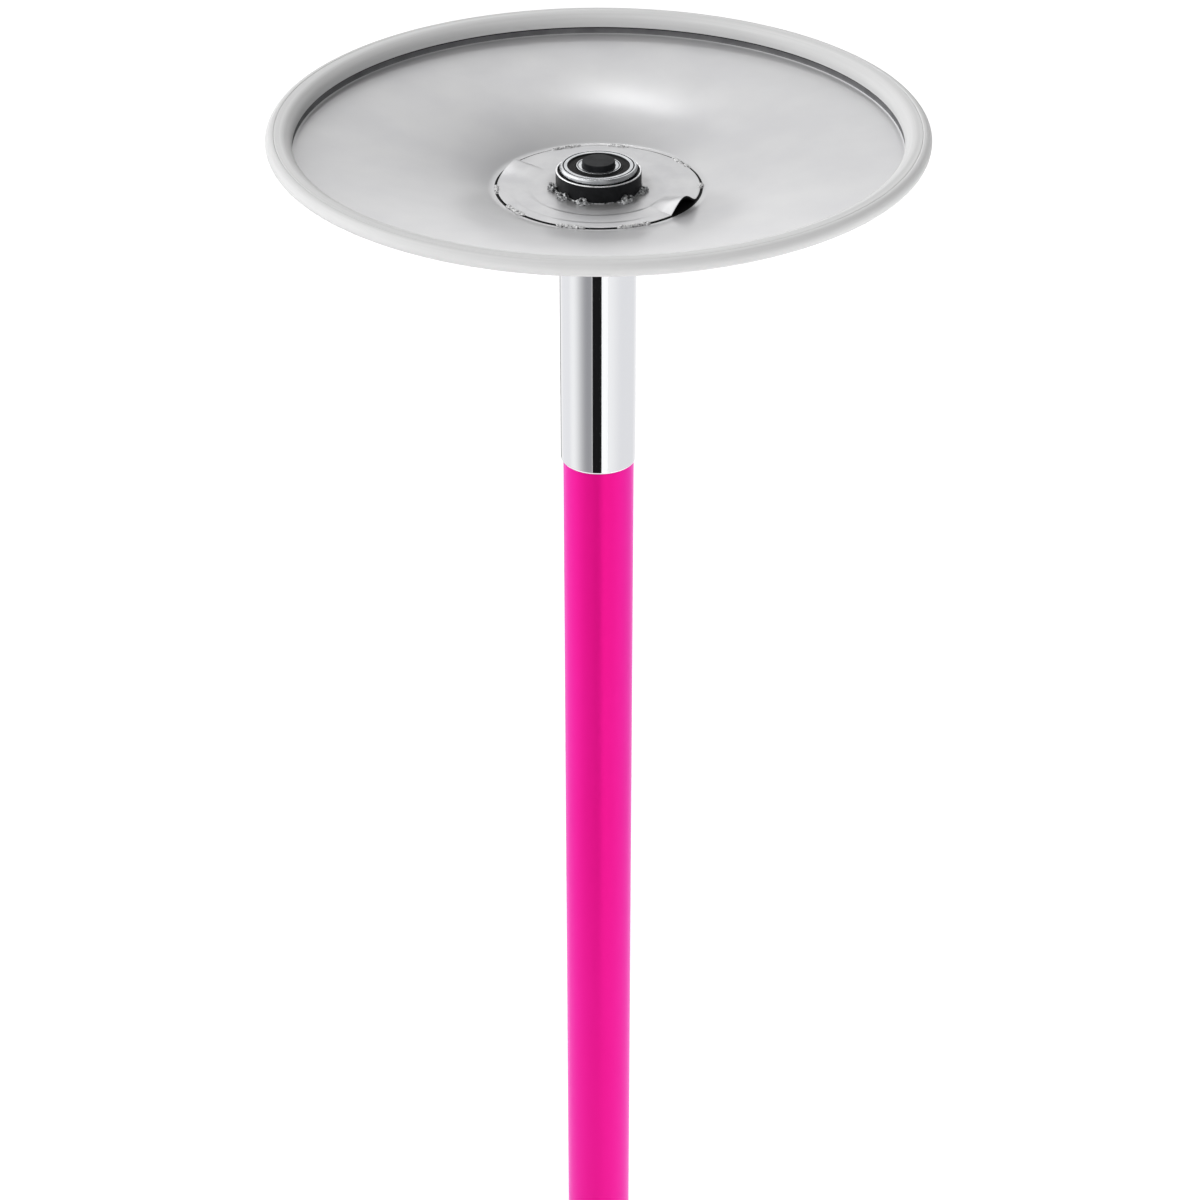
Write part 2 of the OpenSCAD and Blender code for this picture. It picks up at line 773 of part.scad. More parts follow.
module upper_coupler_back() color(alloy) coupler_half(upper_z, 1);

module upper_coupler_screws() color(dark_steel) coupler_screws(upper_z);

// Top spindle: plug in the upper tube, disc on its end, and journal through the dome
module top_spindle() color(black) {
    plug_r = tube_ri - plug_gap;
    tip_z = bearing_top + spindle_proud;
    tip_chamfer = 0.4;
    rotate_extrude() {
        polygon([
            [plug_bore_d / 2, tube_top - plug_len], [plug_r - edge_chamfer, tube_top - plug_len],
            [plug_r, tube_top - plug_len + edge_chamfer], [plug_r, tube_top],
            [sleeve_ri - plug_gap, tube_top], [sleeve_ri - plug_gap, top_thrust_z],
            [top_r, top_thrust_z], [top_r, tip_z - tip_chamfer], [top_r - tip_chamfer, tip_z], [0, tip_z],
            [0, tube_top], [plug_bore_d / 2, tube_top]
        ]);
    }
}

// Chrome sleeve: hangs from the disc over the pole's top, with its lower lip rolled onto the tube
sleeve_clear = 0.7;     // under the housing, which the sleeve doesn't touch
sleeve_top = housing_bottom - sleeve_clear;

module chrome_sleeve() color(chrome) {
    r_out = sleeve_d / 2;
    lip_z = sleeve_top - sleeve_len + sleeve_lip_r;
    rotate_extrude() {
        translate([sleeve_ri, lip_z]) square([sleeve_wall, sleeve_top - lip_z]);
        intersection() {
            translate([r_out - sleeve_lip_r, lip_z]) difference() {
                circle(r = sleeve_lip_r);
                circle(r = sleeve_lip_r - sleeve_wall);
            }
            translate([pole_r + seat_gap, lip_z - sleeve_lip_r]) square([sleeve_d, sleeve_lip_r]);
        }
    }
}

// Top thrust bearing: passes the bracing force from the pole to the dome
top_thrust_pitch = (top_r + top_thrust_d / 2) / 2;
top_thrust_ball_r = top_thrust_ball_d / 2;
top_washer_t = top_thrust_h * washer_share;
top_washer_clear = 0.6; // the upper washer stands still and clears the spindle by this

module top_thrust_lower_washer() color(steel) {
    translate([0, 0, top_thrust_z]) {
        thrust_washer(top_r + seat_gap, top_thrust_d / 2 - plug_gap, top_washer_t,
            top_thrust_pitch, top_thrust_ball_r, top_thrust_h / 2);
    }
}

module top_thrust_upper_washer() color(steel) {
    translate([0, 0, floor_z - top_washer_t]) {
        thrust_washer(top_r + top_washer_clear, top_thrust_d / 2, top_washer_t,
            top_thrust_pitch, top_thrust_ball_r, top_washer_t - top_thrust_h / 2);
    }
}

module top_thrust_cage() color(brass) {
    translate([0, 0, top_thrust_z + top_thrust_h / 2]) {
        thrust_cage(top_thrust_count, top_thrust_pitch, top_thrust_ball_r,
            top_r + cage_gap, top_thrust_d / 2 - cage_gap, top_thrust_h - 2 * top_washer_t - 2 * cage_gap);
    }
}

module top_thrust_balls() color(steel) {
    translate([0, 0, top_thrust_z + top_thrust_h / 2]) {
        ball_row(top_thrust_count, top_thrust_pitch, top_thrust_ball_r);
    }
}

// Top bearing: lets the pole spin in the dome
top_pitch_r = (top_r + top_or) / 2;
top_ball_r = top_ball_d / 2;
top_land = top_ball_d * land_share;
top_inner_land = 1.1;   // how much further in the inner ring's land lies
top_cage_half = top_ball_d * cage_share;
top_cage_h = top_bearing_w - 2 * (seal_sink + seal_t + slip_gap);

module top_bearing_inner_ring() color(steel) {
    translate([0, 0, top_bearing_z]) {
        inner_ring(top_r + seat_gap, top_pitch_r - top_land - top_inner_land, top_bearing_w,
            top_pitch_r, top_ball_r);
    }
}

module top_bearing_outer_ring() color(steel) {
    translate([0, 0, top_bearing_z]) {
        outer_ring(top_or, top_pitch_r + top_land, top_bearing_w, top_pitch_r, top_ball_r);
    }
}

module top_bearing_seals() color(black) {
    translate([0, 0, top_bearing_z]) {
        seal_pair(top_pitch_r - top_land - top_inner_land + slip_gap, top_pitch_r + top_land - seat_gap,
            top_bearing_w);
    }
}

module top_bearing_cage() color(brass) {
    translate([0, 0, top_bearing_z + top_bearing_w / 2]) {
        radial_cage(top_ball_count, top_pitch_r, top_ball_r, top_cage_half, top_cage_h);
    }
}

module top_bearing_balls() color(steel) {
    translate([0, 0, top_bearing_z + top_bearing_w / 2]) ball_row(top_ball_count, top_pitch_r, top_ball_r);
}

// Bearing housing: dark steel cup through the middle of the dome, with its flange under the dish
module bearing_housing() color(dark_steel) {
    lip_t = 1.1;            // wall left at the housing's mouth
    relief_r = housing_r - lip_t;
    floor_r = top_r + 2;    // hole in the floor that the spindle passes
    flange_top = land_z - dish_t - plug_gap;
    rotate_extrude() {
        polygon([
            [floor_r, floor_z], [top_thrust_d / 2 + plug_gap, floor_z],
            [top_thrust_d / 2 + plug_gap, housing_bottom], [housing_flange_r - edge_chamfer, housing_bottom],
            [housing_flange_r, housing_bottom + edge_chamfer], [housing_flange_r, flange_top],
            [housing_r, flange_top], [housing_r, housing_top - fine_chamfer],
            [housing_r - fine_chamfer, housing_top], [relief_r, housing_top],
            [relief_r, housing_top - housing_relief], [top_or + seat_gap, housing_top - housing_relief],
            [top_or + seat_gap, top_bearing_z], [floor_r, top_bearing_z]
        ]);
    }
}

// Dish: spun sheet with a flat middle, a bowed funnel and a short upright rim inside the rubber ring
dish_flat_out = rim_ri - dish_corner_r;
dish_fold = 0.03;       // share of the funnel's width that its inner fold takes up

module dome_dish() color(satin) {
    span = dish_flat_out - dish_flat_r;
    curve = [
        for (i = [1 : dish_steps])
            let (u = pow(i / dish_steps, dish_step_power))
            [dish_flat_r + span * u, land_z + dish_rise * dish_curve(u)]
    ];
    under = [for (i = [dish_steps - 1 : -1 : 0]) curve[i] - [0, dish_t]];
    rim_top = dome_top - seal_pad - plug_gap;
    rotate_extrude() {
        polygon(concat(
            [[plate_hole_r, land_z - dish_t], [plate_hole_r, land_z], [dish_flat_r, land_z]],
            curve,
            arc(dish_flat_out, dish_edge_z + dish_corner_r, dish_corner_r, -90, 0),
            [[rim_ri, rim_top], [rim_ri + dish_t, rim_top]],
            arc(dish_flat_out, dish_edge_z + dish_corner_r, dish_corner_r + dish_t, 0, -90),
            under,
            [[dish_flat_r, land_z - dish_t]]
        ));
    }
}

// Hub plate: pressed in two shallow steps, with two opposite flutes that open at its edge
step_w = 2;             // radial width of a pressed step
flute_cols = 16;        // columns of facets across a flute
plain_cols = 12;        // columns of facets between the flutes

// Height of the plate's top above its edge, at a radius
function plate_profile(r) =
    plate_step * (2 - smooth((r - plate_step_in) / step_w + 0.5) - smooth((r - plate_step_out) / step_w + 0.5));

// Height of a flute at a radius and at an angle from its crest
function flute(r, da) =
    abs(da) >= flute_half || r <= flute_start ? 0
    : flute_h * pow((r - flute_start) / (hub_plate_d / 2 - flute_start), flute_power)
        * pow(cos(90 * da / flute_half), 2);

// Angles of the plate's facet columns, as [angle, angle from the nearest crest]
flute_cols_at = [for (i = [0 : flute_cols]) flute_half * (2 * i / flute_cols - 1)];
plain_cols_at = [for (i = [1 : plain_cols - 1]) flute_half + (180 - 2 * flute_half) * i / plain_cols];
plate_cols = [
    for (turn = [0, 180])
        for (da = concat(flute_cols_at, plain_cols_at)) [flute_dir + turn + da, da]
];

// Radii of the plate's facet rings
plate_rings = [
    plate_hole_r, plate_step_in - step_w / 2, plate_step_in, plate_step_in + step_w / 2,
    plate_step_out - step_w / 2, plate_step_out, plate_step_out + step_w / 2,
    (plate_step_out + step_w / 2 + hub_plate_d / 2) / 2, hub_plate_d / 2
];

module hub_plate() color(satin) {
    cols = len(plate_cols);
    rings = len(plate_rings);
    points = [
        for (side = [0, -hub_plate_t])
            for (r = plate_rings)
                for (c = plate_cols)
                    [r * cos(c[0]), r * sin(c[0]), hub_plate_z + plate_profile(r) + flute(r, c[1]) + side]
    ];
    under = cols * rings;
    top_faces = [
        for (i = [0 : rings - 2])
            for (j = [0 : cols - 1])
                let (k = (j + 1) % cols, a = i * cols, b = a + cols)
                each [[a + j, a + k, b + k], [a + j, b + k, b + j]]
    ];
    under_faces = [for (f = top_faces) [f[0] + under, f[2] + under, f[1] + under]];
    edge_faces = [
        for (j = [0 : cols - 1])
            let (k = (j + 1) % cols, a = (rings - 1) * cols)
            each [
                [k, j, j + under], [k, j + under, k + under],
                [a + j, a + k, a + k + under], [a + j, a + k + under, a + j + under]
            ]
    ];
    polyhedron(points, concat(top_faces, under_faces, edge_faces));
}

// Rubber ring: pushed over the dish's rim, and pressed against the ceiling
module dome_seal() color(grey_rubber) {
    bulb_r = seal_h / 2;
    bottom = dome_top - seal_h;
    rotate_extrude() difference() {
        union() {
            translate([dome_d / 2 - bulb_r, dome_top - bulb_r]) circle(r = bulb_r);
            translate([seal_ri + seal_inner_r, bottom]) square([seal_w - bulb_r - seal_inner_r, seal_h]);
            translate([seal_ri + seal_inner_r, dome_top - seal_inner_r]) circle(r = seal_inner_r);
            translate([seal_ri, bottom]) square([seal_inner_r, seal_h - seal_inner_r]);
        }
        translate([rim_ri - plug_gap, bottom - cut]) {
            square([dish_t + 2 * plug_gap, seal_h - seal_pad + cut]);
        }
    }
}

base_pad();
base_plate();
base_screws();
base_housing();
base_retainer();
retainer_screws();
base_bearing_outer_ring();
base_bearing_seals();
base_bearing_inner_ring();
base_bearing_cage();
base_bearing_balls();
base_thrust_lower_washer();
base_thrust_upper_washer();
base_thrust_cage();
base_thrust_balls();
spin_lock_screw_left();
spin_lock_screw_right();
adjuster_spindle();
adjuster_nut();
adjuster_washer();
cover_sleeve();
lower_end_bush();
lower_tube();
extension_tube();
upper_tube();
lower_coupler_front();
lower_coupler_back();
lower_coupler_screws();
upper_coupler_front();
upper_coupler_back();
upper_coupler_screws();
top_spindle();
chrome_sleeve();
top_thrust_lower_washer();
top_thrust_upper_washer();
top_thrust_cage();
top_thrust_balls();
top_bearing_inner_ring();
top_bearing_outer_ring();
top_bearing_seals();
top_bearing_cage();
top_bearing_balls();
bearing_housing();
dome_dish();
hub_plate();
dome_seal();
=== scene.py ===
import json
import math
import random

import bmesh
import bpy
from bpy.props import FloatProperty, IntProperty, PointerProperty, StringProperty
from mathutils import Matrix, Vector, noise


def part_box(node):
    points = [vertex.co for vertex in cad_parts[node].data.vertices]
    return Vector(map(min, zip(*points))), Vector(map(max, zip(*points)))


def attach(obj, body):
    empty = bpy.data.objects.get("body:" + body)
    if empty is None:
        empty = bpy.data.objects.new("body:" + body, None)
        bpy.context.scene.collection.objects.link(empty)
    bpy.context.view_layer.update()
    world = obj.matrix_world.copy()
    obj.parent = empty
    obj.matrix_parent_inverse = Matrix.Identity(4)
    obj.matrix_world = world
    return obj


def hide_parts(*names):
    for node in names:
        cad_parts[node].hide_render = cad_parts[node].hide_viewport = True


bl_info = {
    "name": "Dance pole dresser",
    "version": (1, 0, 0),
    "blender": (4, 5, 0),
    "location": "3D View > Sidebar > Dance pole",
    "description": "Dresses the packed frame of a spinning dance pole: dome, hub, bearing, sleeves, pole and base",
    "category": "Object",
}

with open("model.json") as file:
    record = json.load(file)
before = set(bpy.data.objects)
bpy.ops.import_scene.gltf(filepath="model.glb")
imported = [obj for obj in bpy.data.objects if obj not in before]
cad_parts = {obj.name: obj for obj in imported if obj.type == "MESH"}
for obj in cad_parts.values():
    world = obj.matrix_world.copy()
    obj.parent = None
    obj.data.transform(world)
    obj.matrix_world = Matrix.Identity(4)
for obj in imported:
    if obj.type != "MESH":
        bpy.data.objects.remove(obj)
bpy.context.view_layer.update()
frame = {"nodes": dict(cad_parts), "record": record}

MM = 0.001
TURN = 2 * math.pi
DOME_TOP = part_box("dome_seal")[1].z / MM
HUB_PLATE_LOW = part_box("hub_plate")[0].z / MM
HOUSING_LOW, HOUSING_HIGH = (corner.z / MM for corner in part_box("bearing_housing"))
SLEEVE_LOW, SLEEVE_HIGH = (corner.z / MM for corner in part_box("chrome_sleeve"))
SPINDLE_LOW, SPINDLE_HIGH = (corner.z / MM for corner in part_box("adjuster_spindle"))


def length(name, value_mm, description):
    """A length property in Blender's unit, with its default given in millimetres."""
    return FloatProperty(
        name=name, description=description, default=value_mm * MM, min=0, precision=4,
        subtype="DISTANCE", unit="LENGTH",
    )


def hex_colour(name, value, description):
    """A colour property that holds sRGB hex digits."""
    return StringProperty(name=name, description=description, default=value, maxlen=7)


class DomeSizes(bpy.types.PropertyGroup):
    """Sizes of the ceiling dome."""

    bore_r: length("Bore radius", 26.3, "Hole in the dish and in the hub plate, around the bearing housing")
    flat_r: length("Flat radius", 63.5, "Flat middle of the dish")
    funnel_r: length("Funnel radius", 182.2, "Where the funnel of the dish ends and its rim turns up")
    rise: length("Rise", 27.5, "Height of the funnel over the flat middle")
    cone: FloatProperty(
        name="Even cone", description="Share of the rise that an even cone makes, the rest bows up at the flat middle",
        default=0.69, min=0, max=1,
    )
    bow: FloatProperty(name="Bow", description="How sharply the bowed share fades outwards", default=3.75, min=1)
    fold: FloatProperty(
        name="Inner fold", description="Share of the funnel's width that its inner fold takes up",
        default=0.03, min=0.001, max=0.2,
    )
    sheet: length("Sheet", 1.2, "Thickness of the dish")
    rim_bend: length("Rim bend", 2.0, "Inside radius of the bend between funnel and rim")
    seal_r: length("Seal radius", 199.0, "Outer radius of the rubber ring")
    seal_inner_r: length("Seal inner radius", 183.1, "Inner radius of the rubber ring")
    seal_round: length("Seal rounding", 7.0, "Rounding of the rubber ring's inner top edge")
    seal_height: length("Seal height", 9.0, "Height of the rubber ring")
    seal_over_rim: length("Rubber over the rim", 3.9, "Rubber between the dish's rim and the ceiling")


class HubSizes(bpy.types.PropertyGroup):
    """Sizes of the pressed hub plate and of the weld tacks on it."""

    plate_r: length("Plate radius", 61.5, "Outer radius of the hub plate")
    sheet: length("Sheet", 1.4, "Thickness of the hub plate")
    drawn_down: length("Drawn down", 0.85, "How far the welds drew the plate's edge towards the dish")
    step_in: length("Inner step", 43.0, "Radius of the inner step")
    step_in_high: length("Inner step height", 0.36, "How far the inner step rises outwards")
    step_out: length("Outer step", 54.5, "Radius of the outer step")
    step_out_high: length("Outer step height", 0.24, "How far the outer step rises outwards")
    step_crisp: length("Crisp step", 2.6, "Radial width of the steps in front, where the press struck hardest")
    step_soft: length("Soft step", 9.0, "Radial width of the steps at the back")
    flute_start: length("Flute start", 40.0, "Radius where the flutes begin")
    tack: length("Tack", 3.9, "Half width of the tacks around the bearing housing")
    bead: length("Bead", 1.5, "Half width of the beads on the plate's edge")


class FinishColours(bpy.types.PropertyGroup):
    """Colours of the finishes."""

    satin: hex_colour("Silver enamel", "#C0C0C2", "Dish and hub plate")
    rubber: hex_colour("Grey rubber", "#D8D8D8", "Ring on the dome's rim")
    pink: hex_colour("Pink coat", "#F00884", "Pole tubes")
    # The lit pink below is a painted sheen that lightens the pole's flanks
    pink_painted_sheen: hex_colour("Pink coat, lit", "#FB3CDA", "What the pigment throws back at a glancing angle")
    chrome: hex_colour("Chrome", "#EDEEF0", "Sleeve, cover and base")
    steel: hex_colour("Bearing steel", "#BEC0C3", "Bearing rings and balls")
    scale: hex_colour("Mill scale", "#242527", "Bearing housing")
    oxide: hex_colour("Black oxide", "#252628", "Shaft end and grub screws")


class DressSteps(bpy.types.PropertyGroup):
    """How finely the pieces are drawn."""

    around: IntProperty(name="Steps around", description="Facets around a turned piece", default=256, min=32)
    across: IntProperty(name="Steps across", description="Facets across the dish's funnel", default=72, min=12)


# ---- Colour and material helpers

SMOOTH = {"interpolation_type": "SMOOTHSTEP"}
MULTIPLY = {"operation": "MULTIPLY"}
MULTIPLY_ADD = {"operation": "MULTIPLY_ADD"}


def linear(text):
    """The linear colour of sRGB hex digits."""
    parts = [int(text[i:i + 2], 16) / 255 for i in (1, 3, 5)]
    return tuple(p / 12.92 if p <= 0.04045 else ((p + 0.055) / 1.055) ** 2.4 for p in parts) + (1.0,)


def add(tree, kind, settings=None, values=None, **links):
    """Adds a node with its settings, its socket values and the outputs that feed it.

    A link is named after its socket, with underscores for spaces, or is an underscore and the socket's number.
    """
    made = tree.nodes.new("ShaderNode" + kind)
    for key, value in (settings or {}).items():
        setattr(made, key, value)
    for key, value in (values or {}).items():
        made.inputs[key].default_value = value
    for key, output in links.items():
        socket = key.replace("_", " ")
        tree.links.new(output, made.inputs[socket if socket in made.inputs else int(key[1:])])
    return made


FINISHES = {}


def finish(name, colour, rough, metal=0.0, **sockets):
    """Starts a material: its shader with constant values, and the tree and place to build its pattern on."""
    made = bpy.data.materials.new(name)
    made.use_nodes = True
    tree = made.node_tree
    shader = tree.nodes["Principled BSDF"]
    base = linear(colour)
    made.diffuse_color = base
    shader.inputs["Base Color"].default_value = base
    shader.inputs["Roughness"].default_value = rough
    shader.inputs["Metallic"].default_value = metal
    for key, value in sockets.items():
        shader.inputs[key.replace("_", " ")].default_value = value
    place = add(tree, "TexCoord").outputs["Object"]
    FINISHES[name] = made
    return tree, shader, place


def join(tree, shader, **outputs):
    """Feeds the shader's sockets."""
    for key, output in outputs.items():
        tree.links.new(output, shader.inputs[key.replace("_", " ")])


def mottled(tree, place, low, high, size_mm, detail=3.0, spread=(0.35, 0.65)):
    """Two values or two hex colours mixed by soft noise of a real size."""
    cloud = add(tree, "TexNoise", values={"Scale": 1 / (size_mm * MM), "Detail": detail}, Vector=place)
    ramp = add(tree, "ValToRGB", Fac=cloud.outputs["Fac"])
    for stop, at, value in zip(ramp.color_ramp.elements, spread, (low, high)):
        stop.position = at
        stop.color = linear(value) if isinstance(value, str) else (value, value, value, 1)
    return ramp.outputs["Color"]


def off_axis(tree, place):
    """Distance from the pole's axis, for marks that run around it."""
    flat = add(tree, "VectorMath", MULTIPLY, {1: (1, 1, 0)}, _0=place)
    return add(tree, "VectorMath", {"operation": "LENGTH"}, _0=flat.outputs[0]).outputs["Value"]


def turned_marks(tree, place, spacing_mm):
    """Rings around the axis that stray by up to 0.8 of their spacing, as a tool leaves them."""
    part = add(tree, "SeparateXYZ", Vector=place)
    wander = add(tree, "TexNoise", values={"Scale": 25.0, "Detail": 1.0}, Vector=place)
    shift = add(tree, "Math", MULTIPLY_ADD, {1: spacing_mm * MM * 0.8},
                _0=wander.outputs["Fac"], _2=off_axis(tree, place))
    along = add(tree, "CombineXYZ", X=shift.outputs[0], Z=part.outputs["Z"])
    rings = add(tree, "TexNoise", values={"Scale": 1 / (spacing_mm * MM), "Detail": 2.0}, Vector=along.outputs[0])
    return rings.outputs["Fac"]


def relief(tree, *layers):
    """A normal made from layers of relief, the lowest first, each with its height and its real depth in mm."""
    under = {}
    for height, depth_mm in layers:
        bump = add(tree, "Bump", values={"Strength": 1.0, "Distance": depth_mm * MM}, Height=height, **under)
        under = {"Normal": bump.outputs["Normal"]}
    return under["Normal"]


def simple_finish(name, colour, rough, metal, tones, sheen=None, rings=None, grain=None, **sockets):
    """A whole finish: mottled tones, and mottled roughness and relief where it has them.

    rings are turned marks, as spacing and depth in mm. grain is noise, as cells in a metre, detail and depth in mm.
    """
    tree, shader, place = finish(name, colour, rough, metal, **sockets)
    fed = {"Base_Color": mottled(tree, place, *tones)}
    if sheen:
        fed["Roughness"] = mottled(tree, place, *sheen)
    if rings:
        spacing_mm, depth_mm = rings
        fed["Normal"] = relief(tree, (turned_marks(tree, place, spacing_mm), depth_mm))
    if grain:
        cells, detail, depth_mm = grain
        height = add(tree, "TexNoise", values={"Scale": cells, "Detail": detail}, Vector=place).outputs["Fac"]
        fed["Normal"] = relief(tree, (height, depth_mm))
    join(tree, shader, **fed)


def make_finishes(colours):
    """Makes every finish of the pole."""
    # Spun mild steel under silver enamel: pale grey, soft metal shading, and a clear coat with one small highlight
    tree, shader, place = finish("spun_steel_silver_enamel", colours.satin, 0.46, 0.45,
                                 Coat_Weight=0.7, Coat_Roughness=0.20)
    # real spinning marks are 0.3 mm apart, drawn at 1.1 mm so that they show
    marks = turned_marks(tree, place, 1.1)
    peel = add(tree, "TexNoise", values={"Scale": 700.0, "Detail": 2.0}, Vector=place).outputs["Fac"]
    join(tree, shader, Base_Color=mottled(tree, place, "#BEBEC0", "#C3C3C4", 38),
         Roughness=mottled(tree, place, 0.44, 0.48, 22, 4), Normal=relief(tree, (marks, 0.006), (peel, 0.005)))

    # The rim's inner wall under the rubber lip and its bend: dull dark grey, painted shade that the lip casts
    simple_finish("spun_steel_painted_shade", "#68686A", 0.6, 0.2, ("#606062", "#707072", 14, 4))

    # A matt black line on the rim just under the rubber lip: painted shadow of the lip
    simple_finish("painted_shadow_line_black", "#0E0E0F", 0.7, 0.0, ("#0A0A0B", "#1C1C1D", 5, 4), Specular_IOR_Level=0.2)

    # Pressed mild steel under the same enamel, with a patchy darker ring in the first 10 mm around the bearing housing:
    # painted shade at the housing's foot
    tree, shader, place = finish("pressed_steel_silver_enamel", colours.satin, 0.34, 0.6,
                                 Coat_Weight=0.3, Coat_Roughness=0.30)
    # painted shade: a patchy darker ring around the housing's foot, 1.5 to 10 mm out from its wall
    foot_shade = add(tree, "MapRange", SMOOTH, {"From Min": 0.0275, "From Max": 0.036, "To Min": 0.62, "To Max": 0.0},
               Value=off_axis(tree, place))
    patch = add(tree, "TexNoise", values={"Scale": 130.0, "Detail": 3.0}, Vector=place)
    shade_amount = add(tree, "Math", {**MULTIPLY, "use_clamp": True}, _0=foot_shade.outputs[0], _1=patch.outputs["Fac"])
    shade = add(tree, "Mix", {"data_type": "RGBA"}, {7: linear("#6E6C69")},
                _0=shade_amount.outputs[0], _6=mottled(tree, place, "#BABABC", "#C4C4C5", 16))
    join(tree, shader, Base_Color=shade.outputs[2], Roughness=mottled(tree, place, 0.31, 0.37, 9, 4),
         Normal=relief(tree, (turned_marks(tree, place, 1.3), 0.004)))

    # Sheared edge and underside of the hub plate, and the dish's middle under it: near black that gives almost no light
    # back, painted shade in the gap under the edge and in the flute mouths
    simple_finish("painted_shade_black", "#0B0B0C", 0.7, 0.0, ("#060607", "#161617", 1.5),
                  Specular_IOR_Level=0.15)

    # Weld metal under enamel: pale, lumpy and half glossy, with dark pits
    simple_finish("welded_steel_enamelled", "#C4C4C5", 0.42, 0.5, ("#4A4B4D", "#DCDCDC", 1.1, 3, (0.33, 0.50)),
                  grain=(900.0, 3.0, 0.25))

    # Raw weld metal on the housing: pale grey with burnt specks
    simple_finish("welded_steel_raw", "#9A9B9D", 0.38, 0.9, ("#3A3B3D", "#B9BABB", 1.6, 3, (0.36, 0.52)),
                  grain=(700.0, 3.0, 0.3))

    # The crater that the arc left in each tack: burnt black
    simple_finish("welded_steel_crater", "#1A1A1B", 0.55, 0.6, ("#101011", "#3A3A3B", 1.2, 3))

    # Turned mild steel with mill scale left on: near black, faint turning lines around it
    simple_finish("turned_steel_mill_scale", colours.scale, 0.46, 0.4, ("#141517", "#202123", 6, 4, (0.36, 0.68)),
                  (0.42, 0.52, 5, 4), rings=(0.5, 0.008), Specular_IOR_Level=0.3)

    # The same steel burnished bright where the bearing went in
    simple_finish("turned_steel_burnished", "#DADBDD", 0.28, 1.0, ("#A4A5A7", "#EDEDEE", 1.4, 4, (0.32, 0.5)),
                  rings=(0.35, 0.006))

    # Ground bearing steel: grey and clean, fine rings of the wheel on its faces
    simple_finish("bearing_steel_ground", colours.steel, 0.22, 1.0, ("#B4B6B9", "#C8CACC", 8), (0.20, 0.26, 6),
                  rings=(0.5, 0.003))

    # Grooves of the bearing rings: near black, painted shade in the grooves
    simple_finish("bearing_groove_painted_shade", "#0F0F10", 0.5, 0.0, ("#0A0A0B", "#1A1A1B", 3), Specular_IOR_Level=0.1)

    # Moulded nitrile rubber of the bearing seals: black with a dull shine
    simple_finish("nitrile_rubber_moulded", "#0C0C0D", 0.48, 0.0, ("#09090A", "#131314", 3), rings=(0.9, 0.05),
                  Specular_IOR_Level=0.06)

    # Turned steel, black oxide: near black and dull, because the oxide is a thin non-metal skin
    simple_finish("turned_steel_black_oxide", colours.oxide, 0.44, 0.0, ("#1F2022", "#2B2C2E", 6, 4), (0.36, 0.44, 5),
                  rings=(0.45, 0.006), Specular_IOR_Level=0.04)

    # Bright chrome on polished steel tube: a clean mirror with the faintest waviness
    tree, shader, place = finish("steel_tube_bright_chrome", colours.chrome, 0.05, 1.0)
    wave = add(tree, "TexNoise", values={"Scale": 14.0, "Detail": 1.0}, Vector=place).outputs["Fac"]
    join(tree, shader, Roughness=mottled(tree, place, 0.035, 0.07, 30), Normal=relief(tree, (wave, 0.02)))

    # Edge where the sleeve was cut and turned in onto the pole: dark and dull, painted shadow where the lip meets the
    # pole
    simple_finish("chrome_lip_painted_shadow", "#2C2C2D", 0.5, 0.4, ("#222223", "#383839", 2))

    # Gloss powder coat on steel tube: saturated pink, orange-peel skin, and flanks turned lighter pink by a painted
    # sheen at a glancing angle
    tree, shader, place = finish("steel_tube_pearl_powder_coat", colours.pink, 0.30, 0.3, Specular_IOR_Level=0.03)
    # the lighter pink on the flanks is a painted sheen, mixed in by facing
    sheen_facing = add(tree, "LayerWeight", values={"Blend": 0.25})
    cloud = add(tree, "TexNoise", values={"Scale": 9.0, "Detail": 2.0}, Vector=place)
    lean = add(tree, "Math", {**MULTIPLY_ADD, "use_clamp": True}, {1: 0.06},
               _0=cloud.outputs["Fac"], _2=sheen_facing.outputs["Facing"])
    coat = add(tree, "Mix", {"data_type": "RGBA"}, {6: linear(colours.pink), 7: linear(colours.pink_painted_sheen)},
               _0=lean.outputs[0])
    peel = add(tree, "TexNoise", values={"Scale": 420.0, "Detail": 2.0}, Vector=place).outputs["Fac"]
    join(tree, shader, Base_Color=coat.outputs[2], Normal=relief(tree, (peel, 0.012)))

    # Moulded light grey rubber: matt, with drawn streaks that run around the ring, 2.4 mm across and 200 mm long
    tree, shader, place = finish("grey_rubber_moulded", colours.rubber, 0.62, 0.0, Specular_IOR_Level=0.35)
    along = add(tree, "VectorMath", {"operation": "SCALE"}, {"Scale": 5.0}, _0=place)
    parts = add(tree, "SeparateXYZ", Vector=along.outputs[0])
    across = add(tree, "Math", MULTIPLY, {1: 420.0}, _0=off_axis(tree, place))
    run = add(tree, "CombineXYZ", X=parts.outputs["X"], Y=parts.outputs["Y"], Z=across.outputs[0]).outputs[0]
    streaks = add(tree, "TexNoise", values={"Scale": 1.0, "Detail": 3.0}, Vector=run).outputs["Fac"]
    grain = add(tree, "TexNoise", values={"Scale": 1400.0, "Detail": 2.0}, Vector=place).outputs["Fac"]
    # run holds the size of the streaks already, so their tones take a scale of one
    join(tree, shader, Base_Color=mottled(tree, run, "#D2D2D2", "#DDDDDD", 1 / MM),
         Normal=relief(tree, (streaks, 0.05), (grain, 0.03)))

    # Moulded black rubber of the floor pad: matt, fine pores, a little dust
    simple_finish("black_rubber_moulded", "#1A1A1B", 0.78, 0.0, ("#131314", "#2A2A2B", 12, 5), grain=(900.0, 3.0, 0.08))

